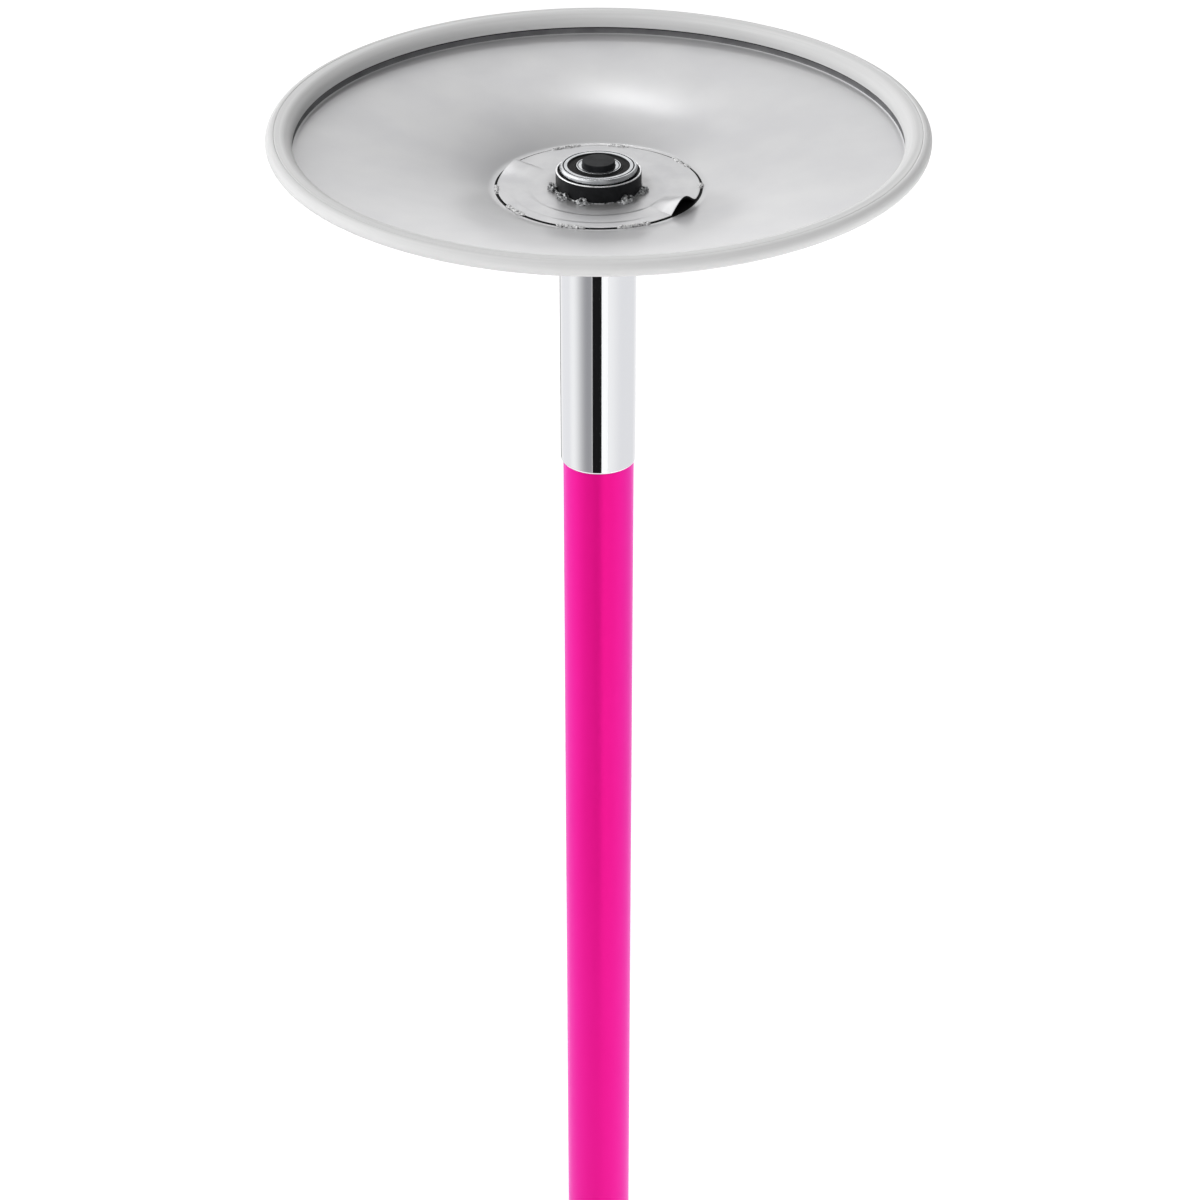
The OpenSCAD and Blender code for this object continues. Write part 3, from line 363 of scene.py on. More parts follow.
    # Machined steel, zinc plated: cool bright grey with cutter lines
    simple_finish("machined_steel_zinc", "#B6BABF", 0.30, 1.0, ("#A8ADB4", "#C6C9CC", 5, 4), (0.24, 0.38, 4),
                  rings=(0.5, 0.012))

    # Pressed brass of the cages and the washer: warm yellow, slightly dulled
    simple_finish("pressed_brass", "#C9A24E", 0.30, 1.0, ("#B48C3C", "#D6B365", 5), (0.24, 0.40, 3),
                  rings=(0.4, 0.008))

    # Machined aluminium of the couplers: pale, soft shine
    simple_finish("machined_aluminium", "#C9CBCD", 0.34, 1.0, ("#BCBEC1", "#D6D7D9", 8), rings=(0.5, 0.012))


SLOT_FINISHES = {
    "pad_rubber": "black_rubber_moulded",
    "chrome_plate": "steel_tube_bright_chrome",
    "zinc_steel": "machined_steel_zinc",
    "bearing_steel": "bearing_steel_ground",
    "bearing_seal": "nitrile_rubber_moulded",
    "cage_brass": "pressed_brass",
    "black_steel": "turned_steel_black_oxide",
    "pink_paint": "steel_tube_pearl_powder_coat",
    "coupler_alloy": "machined_aluminium",
    "housing_steel": "turned_steel_mill_scale",
    "dish_satin": "spun_steel_silver_enamel",
    "seal_rubber": "grey_rubber_moulded",
}


# ---- Shape helpers

def smooth_step(u):
    """A smooth step from 0 to 1."""
    t = min(max(u, 0.0), 1.0)
    return t * t * (3 - 2 * t)


def rounded(corners, parts=4):
    """A closed outline in the (radius, height) plane with its corners rounded: (r, z, fillet) in mm."""
    out = []
    for i, (r, z, fillet) in enumerate(corners):
        here = Vector((r, z))
        if fillet <= 0:
            out.append((r, z))
            continue
        back = (Vector(corners[i - 1][:2]) - here).normalized()
        ahead = (Vector(corners[(i + 1) % len(corners)][:2]) - here).normalized()
        half = math.acos(max(-1.0, min(1.0, back.dot(ahead)))) / 2
        centre = here + (back + ahead).normalized() * fillet / math.sin(half)
        start, end = here + back * fillet / math.tan(half), here + ahead * fillet / math.tan(half)
        for k in range(parts + 1):
            chord = start.lerp(end, k / parts) - centre
            out.append(tuple(centre + chord.normalized() * fillet))
    return out


def arc(r, z, radius, start, end, parts=8):
    """Points on an arc in the (radius, height) plane, angles in degrees."""
    angles = [math.radians(start + (end - start) * k / parts) for k in range(parts + 1)]
    return [(r + radius * math.cos(a), z + radius * math.sin(a)) for a in angles]


def shown(mesh, body, finishes, replaced=(), sharp_deg=28):
    """Puts a finished mesh in the scene as a piece of the pole with the mesh's name."""
    mesh.shade_smooth()
    mesh.set_sharp_from_angle(angle=math.radians(sharp_deg))
    piece = bpy.data.objects.new(mesh.name, mesh)
    bpy.context.scene.collection.objects.link(piece)
    for finish_name in finishes:
        mesh.materials.append(FINISHES[finish_name])
    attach(piece, body)
    if replaced:
        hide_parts(*replaced)
    return piece


def turned_mesh(name, outline, around, shape=None, band=None):
    """A ring turned from a closed outline in mm. shape(r, z, angle) moves a point, band(r, z) picks a finish."""
    points, faces, picks = [], [], []
    count = len(outline)
    for j in range(around):
        angle = TURN * j / around
        for r, z in outline:
            if shape:
                r, z = shape(r, z, angle)
            points.append((r * math.cos(angle) * MM, r * math.sin(angle) * MM, z * MM))
    for j in range(around):
        k = (j + 1) % around
        for i in range(count):
            n = (i + 1) % count
            faces.append((j * count + i, k * count + i, k * count + n, j * count + n))
            if band:
                picks.append(band((outline[i][0] + outline[n][0]) / 2, (outline[i][1] + outline[n][1]) / 2))
    mesh = bpy.data.meshes.new(name)
    mesh.from_pydata(points, [], faces)
    if band:
        mesh.polygons.foreach_set("material_index", picks)
    return outward(mesh)


def outward(mesh):
    """Turns every face of a closed mesh outwards."""
    work = bmesh.new()
    work.from_mesh(mesh)
    bmesh.ops.recalc_face_normals(work, faces=work.faces)
    work.to_mesh(mesh)
    work.free()
    return mesh


def poured(name, work):
    """A new mesh made from a bmesh, which ends there."""
    mesh = bpy.data.meshes.new(name)
    work.to_mesh(mesh)
    work.free()
    return mesh


def lump(work, centre, sizes, turn, seed, rough, pit=0.0):
    """Adds an uneven blob of weld metal to a bmesh, sizes in mm, with a burnt crater sunk into its top."""
    coarse, fine, fine_share = 1.7, 4.1, 0.6
    mouth, mouth_r = Vector((0.35, 0.1, 0.93)).normalized(), 0.30
    lip_r, lip_wide, lip_high = 0.55, 0.22, 0.16
    made = bmesh.ops.create_icosphere(work, subdivisions=4, radius=1.0)["verts"]
    spin = Matrix.Rotation(turn, 3, "Z")
    if pit:
        for face in {face for v in made for face in v.link_faces}:
            face.material_index = 1 if (face.calc_center_median().normalized() - mouth).length < mouth_r else 0
    for v in made:
        ray = v.co.normalized()
        swell = 1 + rough * noise.noise(ray * coarse + Vector((seed, 3.1, 7.7)))
        swell += rough * fine_share * noise.noise(ray * fine + Vector((1.3, seed, 2.9)))
        if pit:
            off = (ray - mouth).length
            swell += lip_high * math.exp(-((off - lip_r) / lip_wide) ** 2) - pit * math.exp(-(off / mouth_r) ** 2)
        v.co = centre + spin @ Vector([ray[i] * swell * sizes[i] * MM for i in range(3)])


def on_axis(radius_mm, angle, z_mm):
    """A point at a radius, an angle and a height."""
    return Vector((radius_mm * math.cos(angle), radius_mm * math.sin(angle), z_mm)) * MM


# ---- Operators: one for each piece or group of like pieces

class POLE_OT_finishes(bpy.types.Operator):
    """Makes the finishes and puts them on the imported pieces"""

    bl_idname = "dance_pole.finishes"
    bl_label = "Finish the packed pieces"

    def execute(self, context):
        make_finishes(context.scene.pole_colours)
        slots = {row["node"]: row["material_slot"] for row in frame["record"]["subparts"]}
        for name, piece in frame["nodes"].items():
            material = FINISHES[SLOT_FINISHES[slots[name]]]
            for place in piece.material_slots:
                place.link = "OBJECT"
                place.material = material
        return {"FINISHED"}


class POLE_OT_dish(bpy.types.Operator):
    """Spins the dish of the ceiling dome: flat middle, funnel and upright rim"""

    bl_idname = "dance_pole.dish"
    bl_label = "Spin the dish"

    def execute(self, context):
        sizes, steps = context.scene.pole_dome, context.scene.pole_steps
        flat, out, rise = sizes.flat_r / MM, sizes.funnel_r / MM, sizes.rise / MM
        sheet, bend, bore = sizes.sheet / MM, sizes.rim_bend / MM, sizes.bore_r / MM
        rim, rim_round = out + bend, 0.3
        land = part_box("dome_dish")[0].z / MM + sheet
        edge = land + rise
        rim_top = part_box("dome_dish")[1].z / MM
        hidden_r, hidden_rings = context.scene.pole_hub.plate_r / MM + 1.6, 12
        # the rubber ring's bottom, and 0.9 mm under it the lower edge of the painted shadow line
        seal_bottom = DOME_TOP - sizes.seal_height / MM
        shadow_line_low = seal_bottom - 0.9
        wave_high, wave_long = 0.04, 46

        def bowed(u):
            return sizes.cone * u + (1 - sizes.cone) * (1 - (1 - u) ** sizes.bow)

        def curve(u):
            """Height of the funnel, from 0 at the flat middle to 1 at the rim."""
            past_fold = u * u / (2 * sizes.fold) if u < sizes.fold else u - sizes.fold / 2
            return bowed(past_fold) / bowed(1 - sizes.fold / 2)

        shares = [(i / steps.across) ** 1.5 for i in range(steps.across + 1)]
        funnel = [(flat + (out - flat) * u, land + rise * curve(u)) for u in shares]
        middle = [(bore + (hidden_r - bore) * i / hidden_rings, land) for i in range(hidden_rings + 1)]
        outline = middle + funnel[:-1] + arc(out, edge + bend, bend, -90, 0)
        outline += [(rim, shadow_line_low), (rim, seal_bottom)]
        outline += arc(rim + rim_round, rim_top - rim_round, rim_round, 180, 90, 4)
        outline += arc(rim + sheet - rim_round, rim_top - rim_round, rim_round, 90, 0, 4)
        outline += arc(out, edge + bend, bend + sheet, 0, -90)
        outline += [(r, z - sheet) for r, z in reversed(middle + funnel[:-1])]

        def uneven(r, z, angle):
            """The slight unevenness that a hand-fed roller leaves."""
            weight = smooth_step((r - flat - 4) / 16) * smooth_step((out - 4 - r) / 14)
            spot = Vector((r * math.cos(angle), r * math.sin(angle), 0)) / wave_long
            return r, z + weight * wave_high * noise.noise(spot)

        def band(r, z):
            """The rim's inner wall and bend get painted shade, with a painted black shadow line under the rubber lip,
            and the middle under the hub plate is painted black as shade.
            """
            if r < hidden_r:
                return 3
            upright = abs(r - rim) < 0.01 and z > edge + bend
            folded = r > out + 1.5 and math.hypot(r - out, z - edge - bend) < bend + 0.1
            if not upright and not folded:
                return 0
            return 2 if z > shadow_line_low else 1

        mesh = turned_mesh("dish_spun", outline, steps.around * 3 // 2, uneven, band)
        shown(mesh, "dome",
              ["spun_steel_silver_enamel", "spun_steel_painted_shade", "painted_shadow_line_black",
               "painted_shade_black"], ["dome_dish"])
        return {"FINISHED"}


# The plate's two flutes: direction of the crest in degrees, height at the edge in mm, and the angles that the steep and
# the easy flank take up
FLUTES = [(-34.5, 8.0, 11, 18), (147, 2.4, 5, 26)]


class POLE_OT_hub_plate(bpy.types.Operator):
    """Presses the hub plate with its two shallow steps and two opposite flutes"""

    bl_idname = "dance_pole.hub_plate"
    bl_label = "Press the hub plate"

    def execute(self, context):
        dome, sizes = context.scene.pole_dome, context.scene.pole_hub
        bore, plate, sheet = dome.bore_r / MM, sizes.plate_r / MM, sizes.sheet / MM
        pressed = [(sizes.step_in / MM, sizes.step_in_high / MM), (sizes.step_out / MM, sizes.step_out_high / MM)]
        start, flute_swell, easy_power, steep_power = sizes.flute_start / MM, 1.2, 2.2, 1.0
        crisp_to, fade_over = 55, 45
        rings, around, nose = 72, 720, 0.25
        edge_z = HUB_PLATE_LOW + sheet - sizes.drawn_down / MM

        def top(r, angle):
            """Height of the plate's upper face."""
            from_front = abs((math.degrees(angle) + 270) % 360 - 180)
            softer = smooth_step((from_front - crisp_to) / fade_over)
            wide = (sizes.step_crisp + (sizes.step_soft - sizes.step_crisp) * softer) / MM
            height = edge_z - sum(high * (1 - smooth_step((r - at) / wide + 0.5)) for at, high in pressed)
            for crest, high, steep, easy in FLUTES:
                turn = (math.degrees(angle) - crest + 180) % 360 - 180
                share = turn / easy if turn > 0 else -turn / steep
                if share < 1 and r > start:
                    grow = ((r - start) / (plate - start)) ** flute_swell
                    height += high * grow * math.cos(math.pi / 2 * share) ** (easy_power if turn > 0 else steep_power)
            return height

        radii = [bore + (plate - nose - bore) * i / rings for i in range(rings + 1)]
        outline = [(r, 0.0) for r in radii]
        outline += [(plate - nose + nose * math.sin(a), -nose * (1 - math.cos(a)))
                    for a in (math.pi / 6, math.pi / 3, math.pi / 2)]
        outline += [(plate, -sheet)] + [(r, -sheet) for r in reversed(radii)]

        def pressed_shape(r, drop, angle):
            return r, top(min(r, plate), angle) + drop

        def band(r, drop):
            """The sheared edge and the underside are painted black as shade."""
            return 1 if drop < -nose and r > bore + 0.1 else 0

        mesh = turned_mesh("hub_plate_pressed", outline, around, pressed_shape, band)
        shown(mesh, "dome", ["pressed_steel_silver_enamel", "painted_shade_black"],
              ["hub_plate"])
        return {"FINISHED"}


# Weld beads on the hub plate's edge: from and to, in degrees around the axis
EDGE_BEADS = [(-180, -170), (-151, -136), (-113, -98), (-79, -62), (-2, 3), (27, 31), (34, 42),
              (72, 84), (101, 117), (150, 152)]
# Weld tacks around the bearing housing: direction in degrees
HOUSING_TACKS = [-171, -140, -111, -52, -18, 56, 90, 126]


class POLE_OT_welds(bpy.types.Operator):
    """Lays the weld beads on the hub plate's edge and the tacks around the bearing housing"""

    bl_idname = "dance_pole.welds"
    bl_label = "Lay the welds"

    def execute(self, context):
        sizes = context.scene.pole_hub
        draw = random.Random(11)
        edge_z = HUB_PLATE_LOW + (sizes.sheet - sizes.drawn_down) / MM

        bead_spacing, bead_sunk, bead_rough, seeds = 1.7, 0.6, 0.35, 90
        work = bmesh.new()
        for start, end in EDGE_BEADS:
            run = math.radians(end - start) * sizes.plate_r / MM
            count = max(2, round(run / bead_spacing))
            for k in range(count):
                angle = math.radians(start + (end - start) * (k + 0.5) / count)
                wide = sizes.bead / MM * draw.uniform(0.75, 1.15)
                centre = on_axis(sizes.plate_r / MM + draw.uniform(-0.1, 0.5), angle, edge_z - bead_sunk)
                lump(work, centre, (wide, 1.35 * wide, wide * 0.85), angle, draw.uniform(0, seeds), bead_rough)
        shown(poured("hub_plate_beads", work), "dome", ["welded_steel_enamelled"], sharp_deg=80)

        # each tack has a smaller lump on either side, and a thin run of weld joins them all
        tack_rough, tack_pit, side_rough, side_turn = 0.45, 0.45, 0.5, 0.10
        run_r, run_unevenness = 0.5, 0.2
        work = bmesh.new()
        base = edge_z - (sizes.step_in_high + sizes.step_out_high) / MM
        bore = context.scene.pole_dome.bore_r / MM
        for degrees in HOUSING_TACKS:
            angle = math.radians(degrees)
            size = sizes.tack / MM * draw.uniform(0.85, 1.1)
            lump(work, on_axis(bore + 1.6, angle, base + 0.7), (size * 0.8, size * 1.05, size * 0.62), angle,
                 draw.uniform(0, seeds), tack_rough, tack_pit)
            for side in (-1, 1):
                beside = on_axis(bore + 0.5, angle + side * side_turn, base + 0.1)
                lump(work, beside, (size * 0.5, size * 0.75, size * 0.3), angle, draw.uniform(0, seeds), side_rough)

        def uneven(r, z, angle):
            return r, z + run_unevenness * noise.noise(on_axis(1e4, angle, 0))

        work.from_mesh(turned_mesh("weld_run", arc(bore + 0.1, base + 0.15, run_r, 0, 315, 7), 256, uneven))
        shown(poured("housing_tacks", work), "dome",
              ["welded_steel_raw", "welded_steel_crater"], sharp_deg=80)
        return {"FINISHED"}


class POLE_OT_housing(bpy.types.Operator):
    """Turns the bearing housing, with its rim burnished where the bearing was pressed in"""

    bl_idname = "dance_pole.housing"
    bl_label = "Turn the bearing housing"

    def execute(self, context):
        bearing_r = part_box("top_bearing_outer_ring")[1].x / MM + 0.02
        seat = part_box("top_bearing_outer_ring")[0].z / MM
        bore, wall_r, flange_r = 12.0, 26.0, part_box("bearing_housing")[1].x / MM
        relief_r, relief_low = 24.9, HOUSING_HIGH - 2.1
        washer_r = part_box("top_thrust_upper_washer")[1].x / MM + 0.1
        floor_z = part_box("top_thrust_upper_washer")[1].z / MM
        flange_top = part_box("dome_dish")[0].z / MM - 0.1
        burnished_from = HOUSING_HIGH - 0.46
        outline = rounded([
            (bore, floor_z, 0.0), (washer_r, floor_z, 0.0), (washer_r, HOUSING_LOW, 0.3),
            (flange_r, HOUSING_LOW, 1.0), (flange_r, flange_top, 0.4), (wall_r, flange_top, 0.2),
            (wall_r, HOUSING_HIGH, 0.45), (relief_r, HOUSING_HIGH, 0.25), (relief_r, relief_low, 0.1),
            (bearing_r, relief_low, 0.2), (bearing_r, seat, 0.1), (bore, seat, 0.3),
        ])

        def band(r, z):
            return 1 if z > burnished_from else 0

        mesh = turned_mesh("bearing_housing_turned", outline, context.scene.pole_steps.around, None, band)
        shown(mesh, "dome",
              ["turned_steel_mill_scale", "turned_steel_burnished"], ["bearing_housing"])
        return {"FINISHED"}


class POLE_OT_bearing(bpy.types.Operator):
    """Turns the rings and rubber seals of the top bearing, with the grooves that show from above"""

    bl_idname = "dance_pole.bearing"
    bl_label = "Turn the top bearing"

    def execute(self, context):
        low, high = (corner.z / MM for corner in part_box("top_bearing_outer_ring"))
        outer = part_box("top_bearing_outer_ring")[1].x / MM
        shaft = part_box("top_bearing_inner_ring")[1].x / MM
        seal_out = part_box("top_bearing_seals")[1].x / MM
        middle, around = (low + high) / 2, context.scene.pole_steps.around
        # the bore, then the circle that the balls run on and the round of their raceway
        bore, pitch, race = 10.02, 16.75, 4.07
        # each ring's groove: radius, half its width, half the width of painted shade in it, and depth
        outer_groove, inner_groove = (21.35, 0.42, 0.40, 0.5), (12.5, 0.28, 0.26, 0.3)
        steel = ["bearing_steel_ground", "bearing_groove_painted_shade"]

        def groove(r, half, _, deep):
            """Corners of a turned groove in a top face, going inwards."""
            foot = half * 0.6
            return [(r + half, high, 0.04), (r + foot, high - deep, 0.03), (r - foot, high - deep, 0.03),
                    (r - half, high, 0.04)]

        def groove_shade(at, _, half, deep):
            """Picks the painted shade for what lies in a groove."""
            return lambda r, z: 1 if high - 0.6 < z < high - 0.02 and abs(r - at) < half else 0

        inner = seal_out + 0.02
        lean = math.degrees(math.acos((inner - pitch) / race))
        outline = rounded([(inner, low, 0.15), (outer, low, 0.6), (outer, high - 1.1, 0.0), (outer - 0.75, high, 0.25)]
                          + groove(*outer_groove) + [(inner, high, 0.12)]
                          + [(r, z, 0.0) for r, z in arc(pitch, middle, race, lean, -lean, 10)])
        mesh = turned_mesh("top_outer_ring_ground", outline, around, None, groove_shade(*outer_groove))
        shown(mesh, "dome", steel, ["top_bearing_outer_ring"], 20)

        lean = math.degrees(math.acos((shaft - pitch) / race))
        outline = rounded([(bore, low, 0.5), (shaft, low, 0.1)]
                          + [(r, z, 0.0) for r, z in arc(pitch, middle, race, 360 - lean, lean, 10)]
                          + [(shaft, high, 0.12)] + groove(*inner_groove) + [(bore, high, 0.5)])
        mesh = turned_mesh("top_inner_ring_ground", outline, around, None, groove_shade(*inner_groove))
        shown(mesh, "pole", steel, ["top_bearing_inner_ring"], 20)

        seal_low, seal_high = (corner.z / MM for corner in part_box("top_bearing_seals"))
        seal_in, thick, sunk, lip_sunk = shaft + 0.3, 1.2, 0.3, 0.05
        work = bmesh.new()
        for flip, face_z in ((1, seal_high), (-1, seal_low)):
            back, pan, lip = face_z - flip * thick, face_z - flip * sunk, face_z - flip * lip_sunk
            corners = [(seal_in, back, 0.0), (seal_out, back, 0.0), (seal_out, face_z, 0.2), (18.2, face_z, 0.15),
                       (18.0, pan, 0.1), (15.0, pan, 0.1), (14.7, lip, 0.15), (seal_in, lip, 0.2)]
            work.from_mesh(turned_mesh(f"lip_{flip}", rounded(corners), around))
        shown(poured("top_seals_moulded", work), "dome", ["nitrile_rubber_moulded"],
              ["top_bearing_seals"])
        return {"FINISHED"}


class POLE_OT_seal(bpy.types.Operator):
    """Moulds the rubber ring on the dome's rim, with its round outer bulb and one fine moulded line"""

    bl_idname = "dance_pole.seal"
    bl_label = "Mould the rubber ring"

    def execute(self, context):
        sizes = context.scene.pole_dome
        outer, inner, high = sizes.seal_r / MM, sizes.seal_inner_r / MM, sizes.seal_height / MM
        bend, bulb, bottom = sizes.seal_round / MM, high / 2, DOME_TOP - high
        groove_in = sizes.funnel_r / MM + sizes.rim_bend / MM - 0.1
        groove_out = groove_in + sizes.sheet / MM + 0.2
        groove_top = DOME_TOP - sizes.seal_over_rim / MM
        line_r, line_half, line_deep = 193.6, 0.45, 0.28
        flatter, edge = 0.93, 0.3

        outline = [(inner, bottom + edge)]
        outline += [(r, DOME_TOP - (DOME_TOP - z) * flatter)
                    for r, z in arc(inner + bend, DOME_TOP - bend, bend, 180, 90, 16)]
        outline += [(line_r - line_half, DOME_TOP), (line_r, DOME_TOP - line_deep), (line_r + line_half, DOME_TOP)]
        outline += arc(outer - bulb, DOME_TOP - bulb, bulb, 86, -90, 24)
        outline += rounded([(outer - bulb, bottom, 0), (groove_out, bottom, 0.2), (groove_out, groove_top, 0.2),
                            (groove_in, groove_top, 0.2), (groove_in, bottom, 0.2), (inner + edge, bottom, 0)])[1:]

        def wavy(r, z, angle):
            """Soft rubber isn't quite round: the bulb draws in by up to 0.18 mm."""
            spot = Vector((math.cos(angle), math.sin(angle), r * 0.02)) * 3
            weight = smooth_step((r - groove_out) / 6)
            return r - weight * 0.18 * (0.5 + 0.5 * noise.noise(spot)), z

        mesh = turned_mesh("dome_seal_moulded", outline, context.scene.pole_steps.around * 3 // 2, wavy)
        shown(mesh, "dome", ["grey_rubber_moulded"], ["dome_seal"])
        return {"FINISHED"}


class POLE_OT_sleeve(bpy.types.Operator):
    """Draws the chrome sleeve under the dome, its lower lip rolled in onto the pole"""

    bl_idname = "dance_pole.sleeve"
    bl_label = "Draw the chrome sleeve"

    def execute(self, context):
        outer, wall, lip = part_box("chrome_sleeve")[1].x / MM, 1.2, 2.0
        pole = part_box("upper_tube")[1].x / MM + 0.02
        bend_z, rows, top_round, bore_round = SLEEVE_LOW + lip, 24, 0.4, 0.3
        outline = [(outer - wall, bend_z)]
        outline += arc(outer - lip, bend_z, lip - wall, 0, -60, 4)
        outline += [(pole, SLEEVE_LOW + lip * 0.62), (pole, SLEEVE_LOW + 0.12)]
        outline += arc(outer - lip, bend_z, lip, -80, 0, 10)
        outline += [(outer, bend_z + (SLEEVE_HIGH - top_round - SLEEVE_LOW - lip) * i / rows)
                    for i in range(1, rows + 1)]
        outline += arc(outer - top_round, SLEEVE_HIGH - top_round, top_round, 0, 90, 4)[1:]
        outline += arc(outer - wall + bore_round, SLEEVE_HIGH - bore_round, bore_round, 90, 180, 3)

        def band(r, z):
            """The cut edge that turns in onto the pole gets a painted shadow."""
            return 1 if r < outer - 0.45 and z < SLEEVE_LOW + lip * 0.6 else 0

        mesh = turned_mesh("chrome_sleeve_drawn", outline, context.scene.pole_steps.around, None, band)
        shown(mesh, "pole", ["steel_tube_bright_chrome", "chrome_lip_painted_shadow"], ["chrome_sleeve"])
        return {"FINISHED"}


class POLE_OT_spindle(bpy.types.Operator):
    """Cuts the thread of the adjuster spindle"""

    bl_idname = "dance_pole.spindle"
    bl_label = "Cut the spindle's thread"

    def execute(self, context):
        pitch, depth, flank, around, per_pitch = 3.5, 1.6, 2.6, 60, 10
        shank, chamfer, tip = 15.0, 0.6, 1.8
        flats, flats_low, flats_high, hair = 13.0, 56.0, 70.0, 0.01
        collar_r, collar_low, collar_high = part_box("adjuster_spindle")[1].x / MM, 20.0, 28.0
        thread_low, thread_high = 74.0, SPINDLE_HIGH - 2.0
        stations = [
            (SPINDLE_LOW, shank - 1), (SPINDLE_LOW + 1, shank), (collar_low, shank),
            (collar_low, collar_r - chamfer), (collar_low + chamfer, collar_r), (collar_high - chamfer, collar_r),
            (collar_high, collar_r - chamfer), (collar_high, shank), (flats_low - hair, shank), (flats_low, shank),
            (flats_high, shank), (flats_high + hair, shank),
        ]
        rows = round((thread_high - thread_low) / pitch * per_pitch)
        stations += [(thread_low + (thread_high - thread_low) * i / rows, shank) for i in range(rows + 1)]
        stations += [(SPINDLE_HIGH, shank - tip)]
        points, faces = [], []
        for z, r in stations:
            for j in range(around):
                angle = TURN * j / around
                here = r
                if thread_low < z < thread_high:
                    turn = (z / pitch - j / around) % 1.0
                    ramp = min(1.0, (z - thread_low) / pitch, (thread_high - z) / pitch)
                    here = r - depth * ramp * min(1.0, abs(turn - 0.5) * flank)
                x, y = here * math.cos(angle), here * math.sin(angle)
                if flats_low <= z <= flats_high:
                    x = max(-flats, min(flats, x))
                points.append((x * MM, y * MM, z * MM))
        for i in range(len(stations) - 1):
            for j in range(around):
                k = (j + 1) % around
                faces.append((i * around + j, i * around + k, (i + 1) * around + k, (i + 1) * around + j))
        faces.append(tuple(range(around))[::-1])
        last = (len(stations) - 1) * around
        faces.append(tuple(last + j for j in range(around)))
        mesh = bpy.data.meshes.new("adjuster_spindle_threaded")
        mesh.from_pydata(points, [], faces)
        shown(outward(mesh), "spindle", ["machined_steel_zinc"], ["adjuster_spindle"])
        return {"FINISHED"}


# ---- Stage: world, floor, cards, softboxes and the camera of the photograph

# The world's brightness along each axis: axis, where it changes from and to, brightness before and after. It is bright
# on the left, dim on the right, dark overhead and a little dimmer in front.
WALLS = [("X", 0.16, 0.46, 1.16, 0.34), ("Z", 0.60, 0.90, 1.0, 0.45), ("Y", -0.60, 0.10, 0.70, 1.0)]
# Brighter patches, high on the left and low behind: axis and range of the fade, gain, axis and range of the growth
PATCHES = [("X", -0.46, -0.30, 0.85, "Z", 0.0, 0.30), ("Z", 0.02, 0.40, 0.70, "Y", 0.80, 0.98)]

# Cards around the pole: the rays that see them, bearing from and to in degrees leftwards from the front, top, distance,
# tone in the middle, and how much of its start and of its end fades out to white
CARDS = [
    ("glossy", -9.4, 18.9, 2.2, 2.4, "#1B1B1C", 0.02, 0.02),
    ("glossy", 18.9, 84, 2.2, 2.4, "#A0A0A3", 0.01, 0.8),
    ("glossy", 84, 150, 2.2, 2.4, "#F3F3F5", 0.3, 0.3),
    ("glossy", 150, 188, 2.2, 2.4, "#3A3A3C", 0.5, 0.2),
    ("glossy", -150, -28, 2.2, 2.4, "#EDEDEF", 0.2, 0.4),
    ("diffuse", -45, 75, 1.22, 1.1, "#200810", 0.3, 0.3),
    ("diffuse", 50, 160, 1.80, 1.1, "#5A4850", 0.3, 0.3),
]
# Height where each kind of card starts: the diffuse ones stay clear of the floor
CARD_LOW = {"glossy": 0.01, "diffuse": 0.45}

# Softboxes: name, place, aim, size and watts. The one high behind the dome is reflected in the enamel. The two that
# fill from the right aren't reflected.
LAMPS = [
    ("softbox_over", (-0.11, 1.82, 4.35), (0.02, 0.10, 2.39), (0.30, 0.24), 3.2),
    ("softbox_front", (1.1, -2.8, 4.0), (0.0, 0.0, 1.6), (1.6, 1.6), 13.0),
    ("softbox_side", (2.2, -0.8, 1.2), (0.0, 0.0, 1.9), (1.0, 1.6), 13.0),
]


def light_world(scene):
    """Lights the studio. The camera itself sees plain white."""
    world = bpy.data.worlds.new("studio_white")
    scene.world = world
    world.use_nodes = True
    tree = world.node_tree
    back = tree.nodes["Background"]
    sky = add(tree, "SeparateXYZ", Vector=add(tree, "TexCoord").outputs["Generated"])
    light = None
    for axis, start, end, before, after in WALLS:
        wall = add(tree, "MapRange", SMOOTH, {"From Min": start, "From Max": end, "To Min": before, "To Max": after},
                   Value=sky.outputs[axis])
        light = wall if light is None else add(tree, "Math", MULTIPLY, _0=light.outputs[0], _1=wall.outputs[0])
    for fades, fade_from, fade_to, gain, grows, grow_from, grow_to in PATCHES:
        lit = add(tree, "MapRange", SMOOTH,
                  {"From Min": fade_from, "From Max": fade_to, "To Min": gain, "To Max": 0.0}, Value=sky.outputs[fades])
        there = add(tree, "MapRange", SMOOTH, {"From Min": grow_from, "From Max": grow_to}, Value=sky.outputs[grows])
        more = add(tree, "Math", MULTIPLY_ADD, {2: 1.0}, _0=lit.outputs[0], _1=there.outputs[0])
        light = add(tree, "Math", MULTIPLY, _0=light.outputs[0], _1=more.outputs[0])
    seen = add(tree, "LightPath").outputs["Is Camera Ray"]
    strength = add(tree, "Mix", {"data_type": "FLOAT"}, {3: 1.1}, _0=seen, _2=light.outputs[0])
    tree.links.new(strength.outputs[0], back.inputs["Strength"])
    back.inputs["Color"].default_value = linear("#FFFFFF")


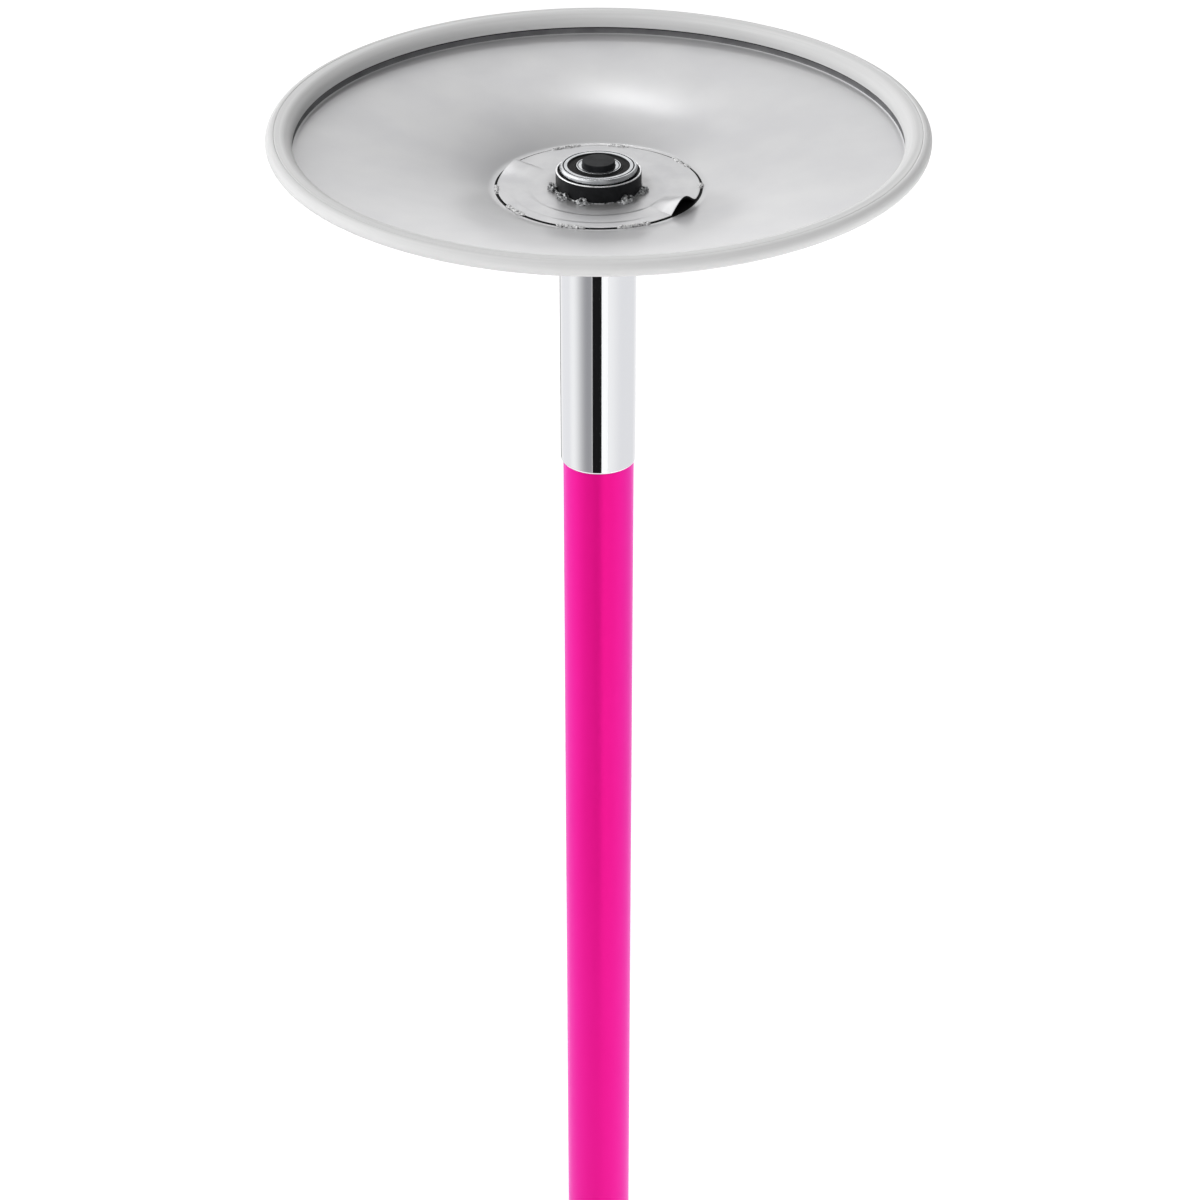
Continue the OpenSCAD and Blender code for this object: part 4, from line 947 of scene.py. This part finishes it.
def lay_floor(scene):
    """Lays a matt white floor that glows a little, so that it runs into the white behind it."""
    simple_finish("studio_floor_matt_white", "#FAFAFA", 0.9, 0.0, ("#FBFBFB", "#FDFDFD", 400), Specular_IOR_Level=0.1,
                  Emission_Color=linear("#FFFFFF"), Emission_Strength=0.35)
    half, cells = 60.0, 6
    row = cells + 1
    grid = [((2 * i / cells - 1) * half, (2 * j / cells - 1) * half, 0.0) for j in range(row) for i in range(row)]
    mesh = bpy.data.meshes.new("studio_floor")
    mesh.from_pydata(grid, [], [(j * row + i, j * row + i + 1, (j + 1) * row + i + 1, (j + 1) * row + i)
                                for j in range(cells) for i in range(cells)])
    mesh.materials.append(FINISHES["studio_floor_matt_white"])
    ground = bpy.data.objects.new("studio_floor", mesh)
    scene.collection.objects.link(ground)


def hang_cards(scene):
    """Hangs the curved cards around the pole."""
    steps = 40
    for i, (faces, start, end, high, reach, tone, fade_in, fade_out) in enumerate(CARDS):
        cloth = f"card_cloth_{i}"
        tree, shader, _ = finish(cloth, "#000000", 1.0, 0.0, Specular_IOR_Level=0.0, Emission_Strength=1.0)
        join(tree, shader, Emission_Color=add(tree, "Attribute", {"attribute_name": "tone"}).outputs["Color"])
        corners, tones = [], []
        for k in range(steps + 1):
            angle = math.radians(start + (end - start) * k / steps)
            share = smooth_step(min(k / steps / fade_in, (1 - k / steps) / fade_out))
            mixed = [a + (b - a) * share for a, b in zip(linear("#FFFFFF"), linear(tone))]
            corners += [(-reach * math.sin(angle), -reach * math.cos(angle), z) for z in (CARD_LOW[faces], high)]
            tones += mixed * 2
        mesh = bpy.data.meshes.new(f"card_{i}")
        mesh.from_pydata(corners, [], [(2 * k, 2 * k + 2, 2 * k + 3, 2 * k + 1) for k in range(steps)])
        mesh.attributes.new("tone", "FLOAT_COLOR", "POINT").data.foreach_set("color", tones)
        mesh.materials.append(FINISHES[cloth])
        card = bpy.data.objects.new(f"card_{i}", mesh)
        scene.collection.objects.link(card)
        card.visible_camera = card.visible_shadow = card.visible_transmission = False
        card.visible_diffuse, card.visible_glossy = faces == "diffuse", faces == "glossy"


def place_lamps(scene):
    """Places the softboxes."""
    for name, place, aim, (wide, deep), power in LAMPS:
        light = bpy.data.lights.new(name, "AREA")
        light.shape, light.size, light.size_y, light.energy = "RECTANGLE", wide, deep, power
        lamp = bpy.data.objects.new(name, light)
        lamp.location = place
        lamp.rotation_euler = (Vector(aim) - Vector(place)).to_track_quat("-Z", "Y").to_euler()
        lamp.visible_glossy = name == "softbox_over"
        scene.collection.objects.link(lamp)


def place_camera(scene):
    """Places the photograph's camera, solved from the ellipses in it: 31.5 degrees down and 0.68 m over the dome."""
    data = bpy.data.cameras.new("photo_camera")
    data.lens, data.sensor_width, data.shift_x, data.clip_end = 88.89, 36.0, 0.00117, 300.0
    camera = bpy.data.objects.new("photo_camera", data)
    camera.location = (0.0, -1.659, DOME_TOP * MM + 0.683)
    camera.rotation_euler = (math.radians(58.47), 0.0, 0.0)
    scene.collection.objects.link(camera)
    scene.camera = camera


class POLE_OT_stage(bpy.types.Operator):
    """Sets the pale floor, the soft studio light and the camera at the photograph's angle"""

    bl_idname = "dance_pole.stage"
    bl_label = "Set the stage"

    def execute(self, context):
        scene = context.scene
        scene.view_settings.view_transform = "Standard"
        for furnish in (light_world, lay_floor, hang_cards, place_lamps, place_camera):
            furnish(scene)
        return {"FINISHED"}


STEPS = [POLE_OT_finishes, POLE_OT_dish, POLE_OT_hub_plate, POLE_OT_welds, POLE_OT_housing, POLE_OT_bearing,
         POLE_OT_seal, POLE_OT_sleeve, POLE_OT_spindle, POLE_OT_stage]
GROUPS = {"pole_dome": DomeSizes, "pole_hub": HubSizes, "pole_colours": FinishColours, "pole_steps": DressSteps}


class POLE_PT_sidebar(bpy.types.Panel):
    """Lists the steps that dress the pole"""

    bl_idname = "POLE_PT_sidebar"
    bl_label = "Dance pole"
    bl_space_type = "VIEW_3D"
    bl_region_type = "UI"
    bl_category = "Dance pole"

    def draw(self, context):
        for step in STEPS:
            self.layout.operator(step.bl_idname, text=step.bl_label)
        for name, group in GROUPS.items():
            box = self.layout.box()
            for key in group.__annotations__:
                box.prop(getattr(context.scene, name), key)


def register():
    for kind in [*GROUPS.values(), *STEPS, POLE_PT_sidebar]:
        bpy.utils.register_class(kind)
    for name, group in GROUPS.items():
        setattr(bpy.types.Scene, name, PointerProperty(type=group))


def unregister():
    for name in GROUPS:
        delattr(bpy.types.Scene, name)
    for kind in reversed([*GROUPS.values(), *STEPS, POLE_PT_sidebar]):
        bpy.utils.unregister_class(kind)


def main():
    register()
    for step in STEPS:
        group, name = step.bl_idname.split(".")
        getattr(getattr(bpy.ops, group), name)()


if __name__ == "__main__":
    main()
